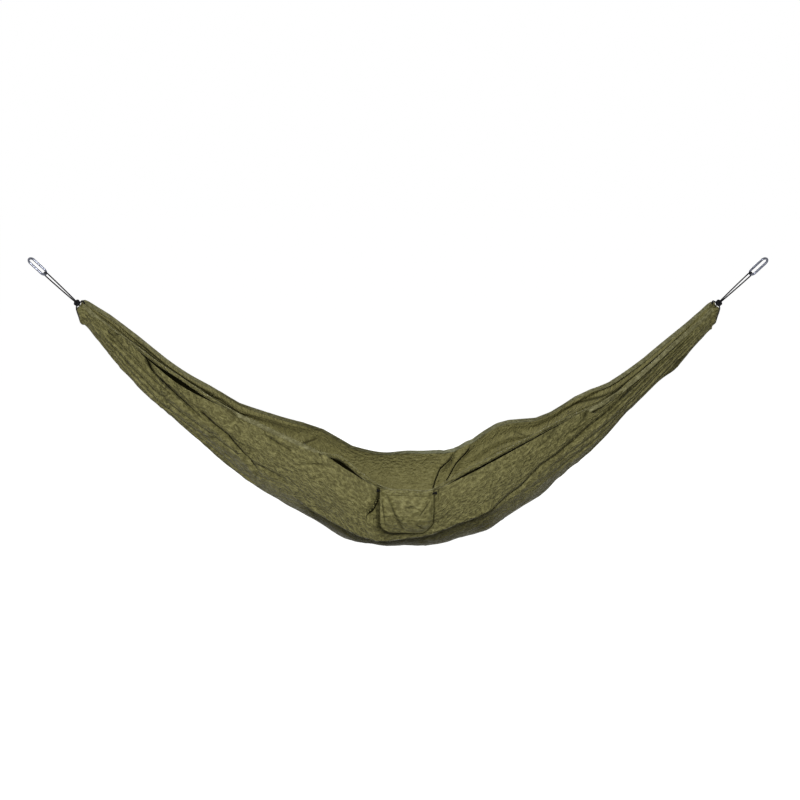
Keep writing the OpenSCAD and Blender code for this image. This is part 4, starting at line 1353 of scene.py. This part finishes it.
forwards = np.array([0, -1.0, 0])
sack_lines = [(front[6:-6, 4] + forwards * mouth_stand, forwards),
              (seam_path[6:-6] + forwards * tape_stand, forwards)]
sack_stitches = add_stitches("sack_stitches", sack_lines, "stuff_sack", "sack_nylon", pitch=3.4 * mm,
                             length=2.5 * mm, width=0.6 * mm)

# ---------------------------------------------------------------- steel parts

for side in ("left", "right"):
    for name, finish in (("hook", polished_steel), ("gate", polished_steel), ("hinge_pin", pin_steel),
                         ("latch_pin", pin_steel), ("plunger", pin_steel), ("gate_spring", spring_steel)):
        for holder in nodes[side + "_" + name].material_slots:
            holder.material = finish

# ---------------------------------------------------------------- floor, world and lamps

def straight_rays(tree):
    """1 for rays from the camera, from a shiny surface or through glass, which see a white room."""
    rays = node(tree, "ShaderNodeLightPath")
    seen = calc(tree, "MAXIMUM", rays.outputs["Is Camera Ray"], rays.outputs["Is Glossy Ray"])
    return calc(tree, "MAXIMUM", seen, rays.outputs["Is Transmission Ray"])


floor_z = -1.45
floor_mesh = bpy.data.meshes.new("floor")
floor_corners = [(x, y, floor_z) for x, y in ((-14, -10), (16, -10), (16, 26), (-14, 26))]
floor_mesh.from_pydata(floor_corners, [], [(0, 1, 2, 3)])
floor_material, tree, surface = new_material("pale_floor")
surface.inputs["Base Color"].default_value = (0.14, 0.14, 0.14, 1)
surface.inputs["Roughness"].default_value = 0.9
surface.inputs["Specular IOR Level"].default_value = 0.1
shown = node(tree, "ShaderNodeEmission")
shown.inputs["Strength"].default_value = 0.95
bounce = node(tree, "ShaderNodeBsdfDiffuse")
bounce.inputs["Color"].default_value = (0.16, 0.16, 0.16, 1)
pale = node(tree, "ShaderNodeAddShader")
link(tree, shown.outputs[0], pale.inputs[0])
link(tree, bounce.outputs[0], pale.inputs[1])
both = node(tree, "ShaderNodeMixShader")
link(tree, straight_rays(tree), both.inputs[0])
link(tree, surface.outputs[0], both.inputs[1])
link(tree, pale.outputs[0], both.inputs[2])
link(tree, both.outputs[0], tree.nodes["Material Output"].inputs["Surface"])
floor_mesh.materials.append(floor_material)
floor = bpy.data.objects.new("floor", floor_mesh)
scene.collection.objects.link(floor)

world = bpy.data.worlds.new("studio")
world.use_nodes = True
scene.world = world
tree = world.node_tree
background = tree.nodes["Background"]
background.inputs["Color"].default_value = (1, 1, 1, 1)
soft_light = 0.32
strength = calc(tree, "ADD", times(tree, straight_rays(tree), 1 - soft_light), soft_light)
link(tree, strength, background.inputs["Strength"])


def add_lamp(name, place, energy, size):
    data = bpy.data.lights.new(name, "AREA")
    data.energy = energy
    data.shape = "DISK"
    data.size = size
    lamp = bpy.data.objects.new(name, data)
    lamp.location = place
    lamp.rotation_euler = (aim - Vector(place)).to_track_quat("-Z", "Y").to_euler()
    scene.collection.objects.link(lamp)


add_lamp("key_lamp", (0.1, -5.0, 1.3), 235, 1.6)
add_lamp("fill_lamp", (3.6, -4.6, 1.6), 34, 2.4)
add_lamp("back_lamp", (1.2, 5.2, 0.3), 105, 2.4)
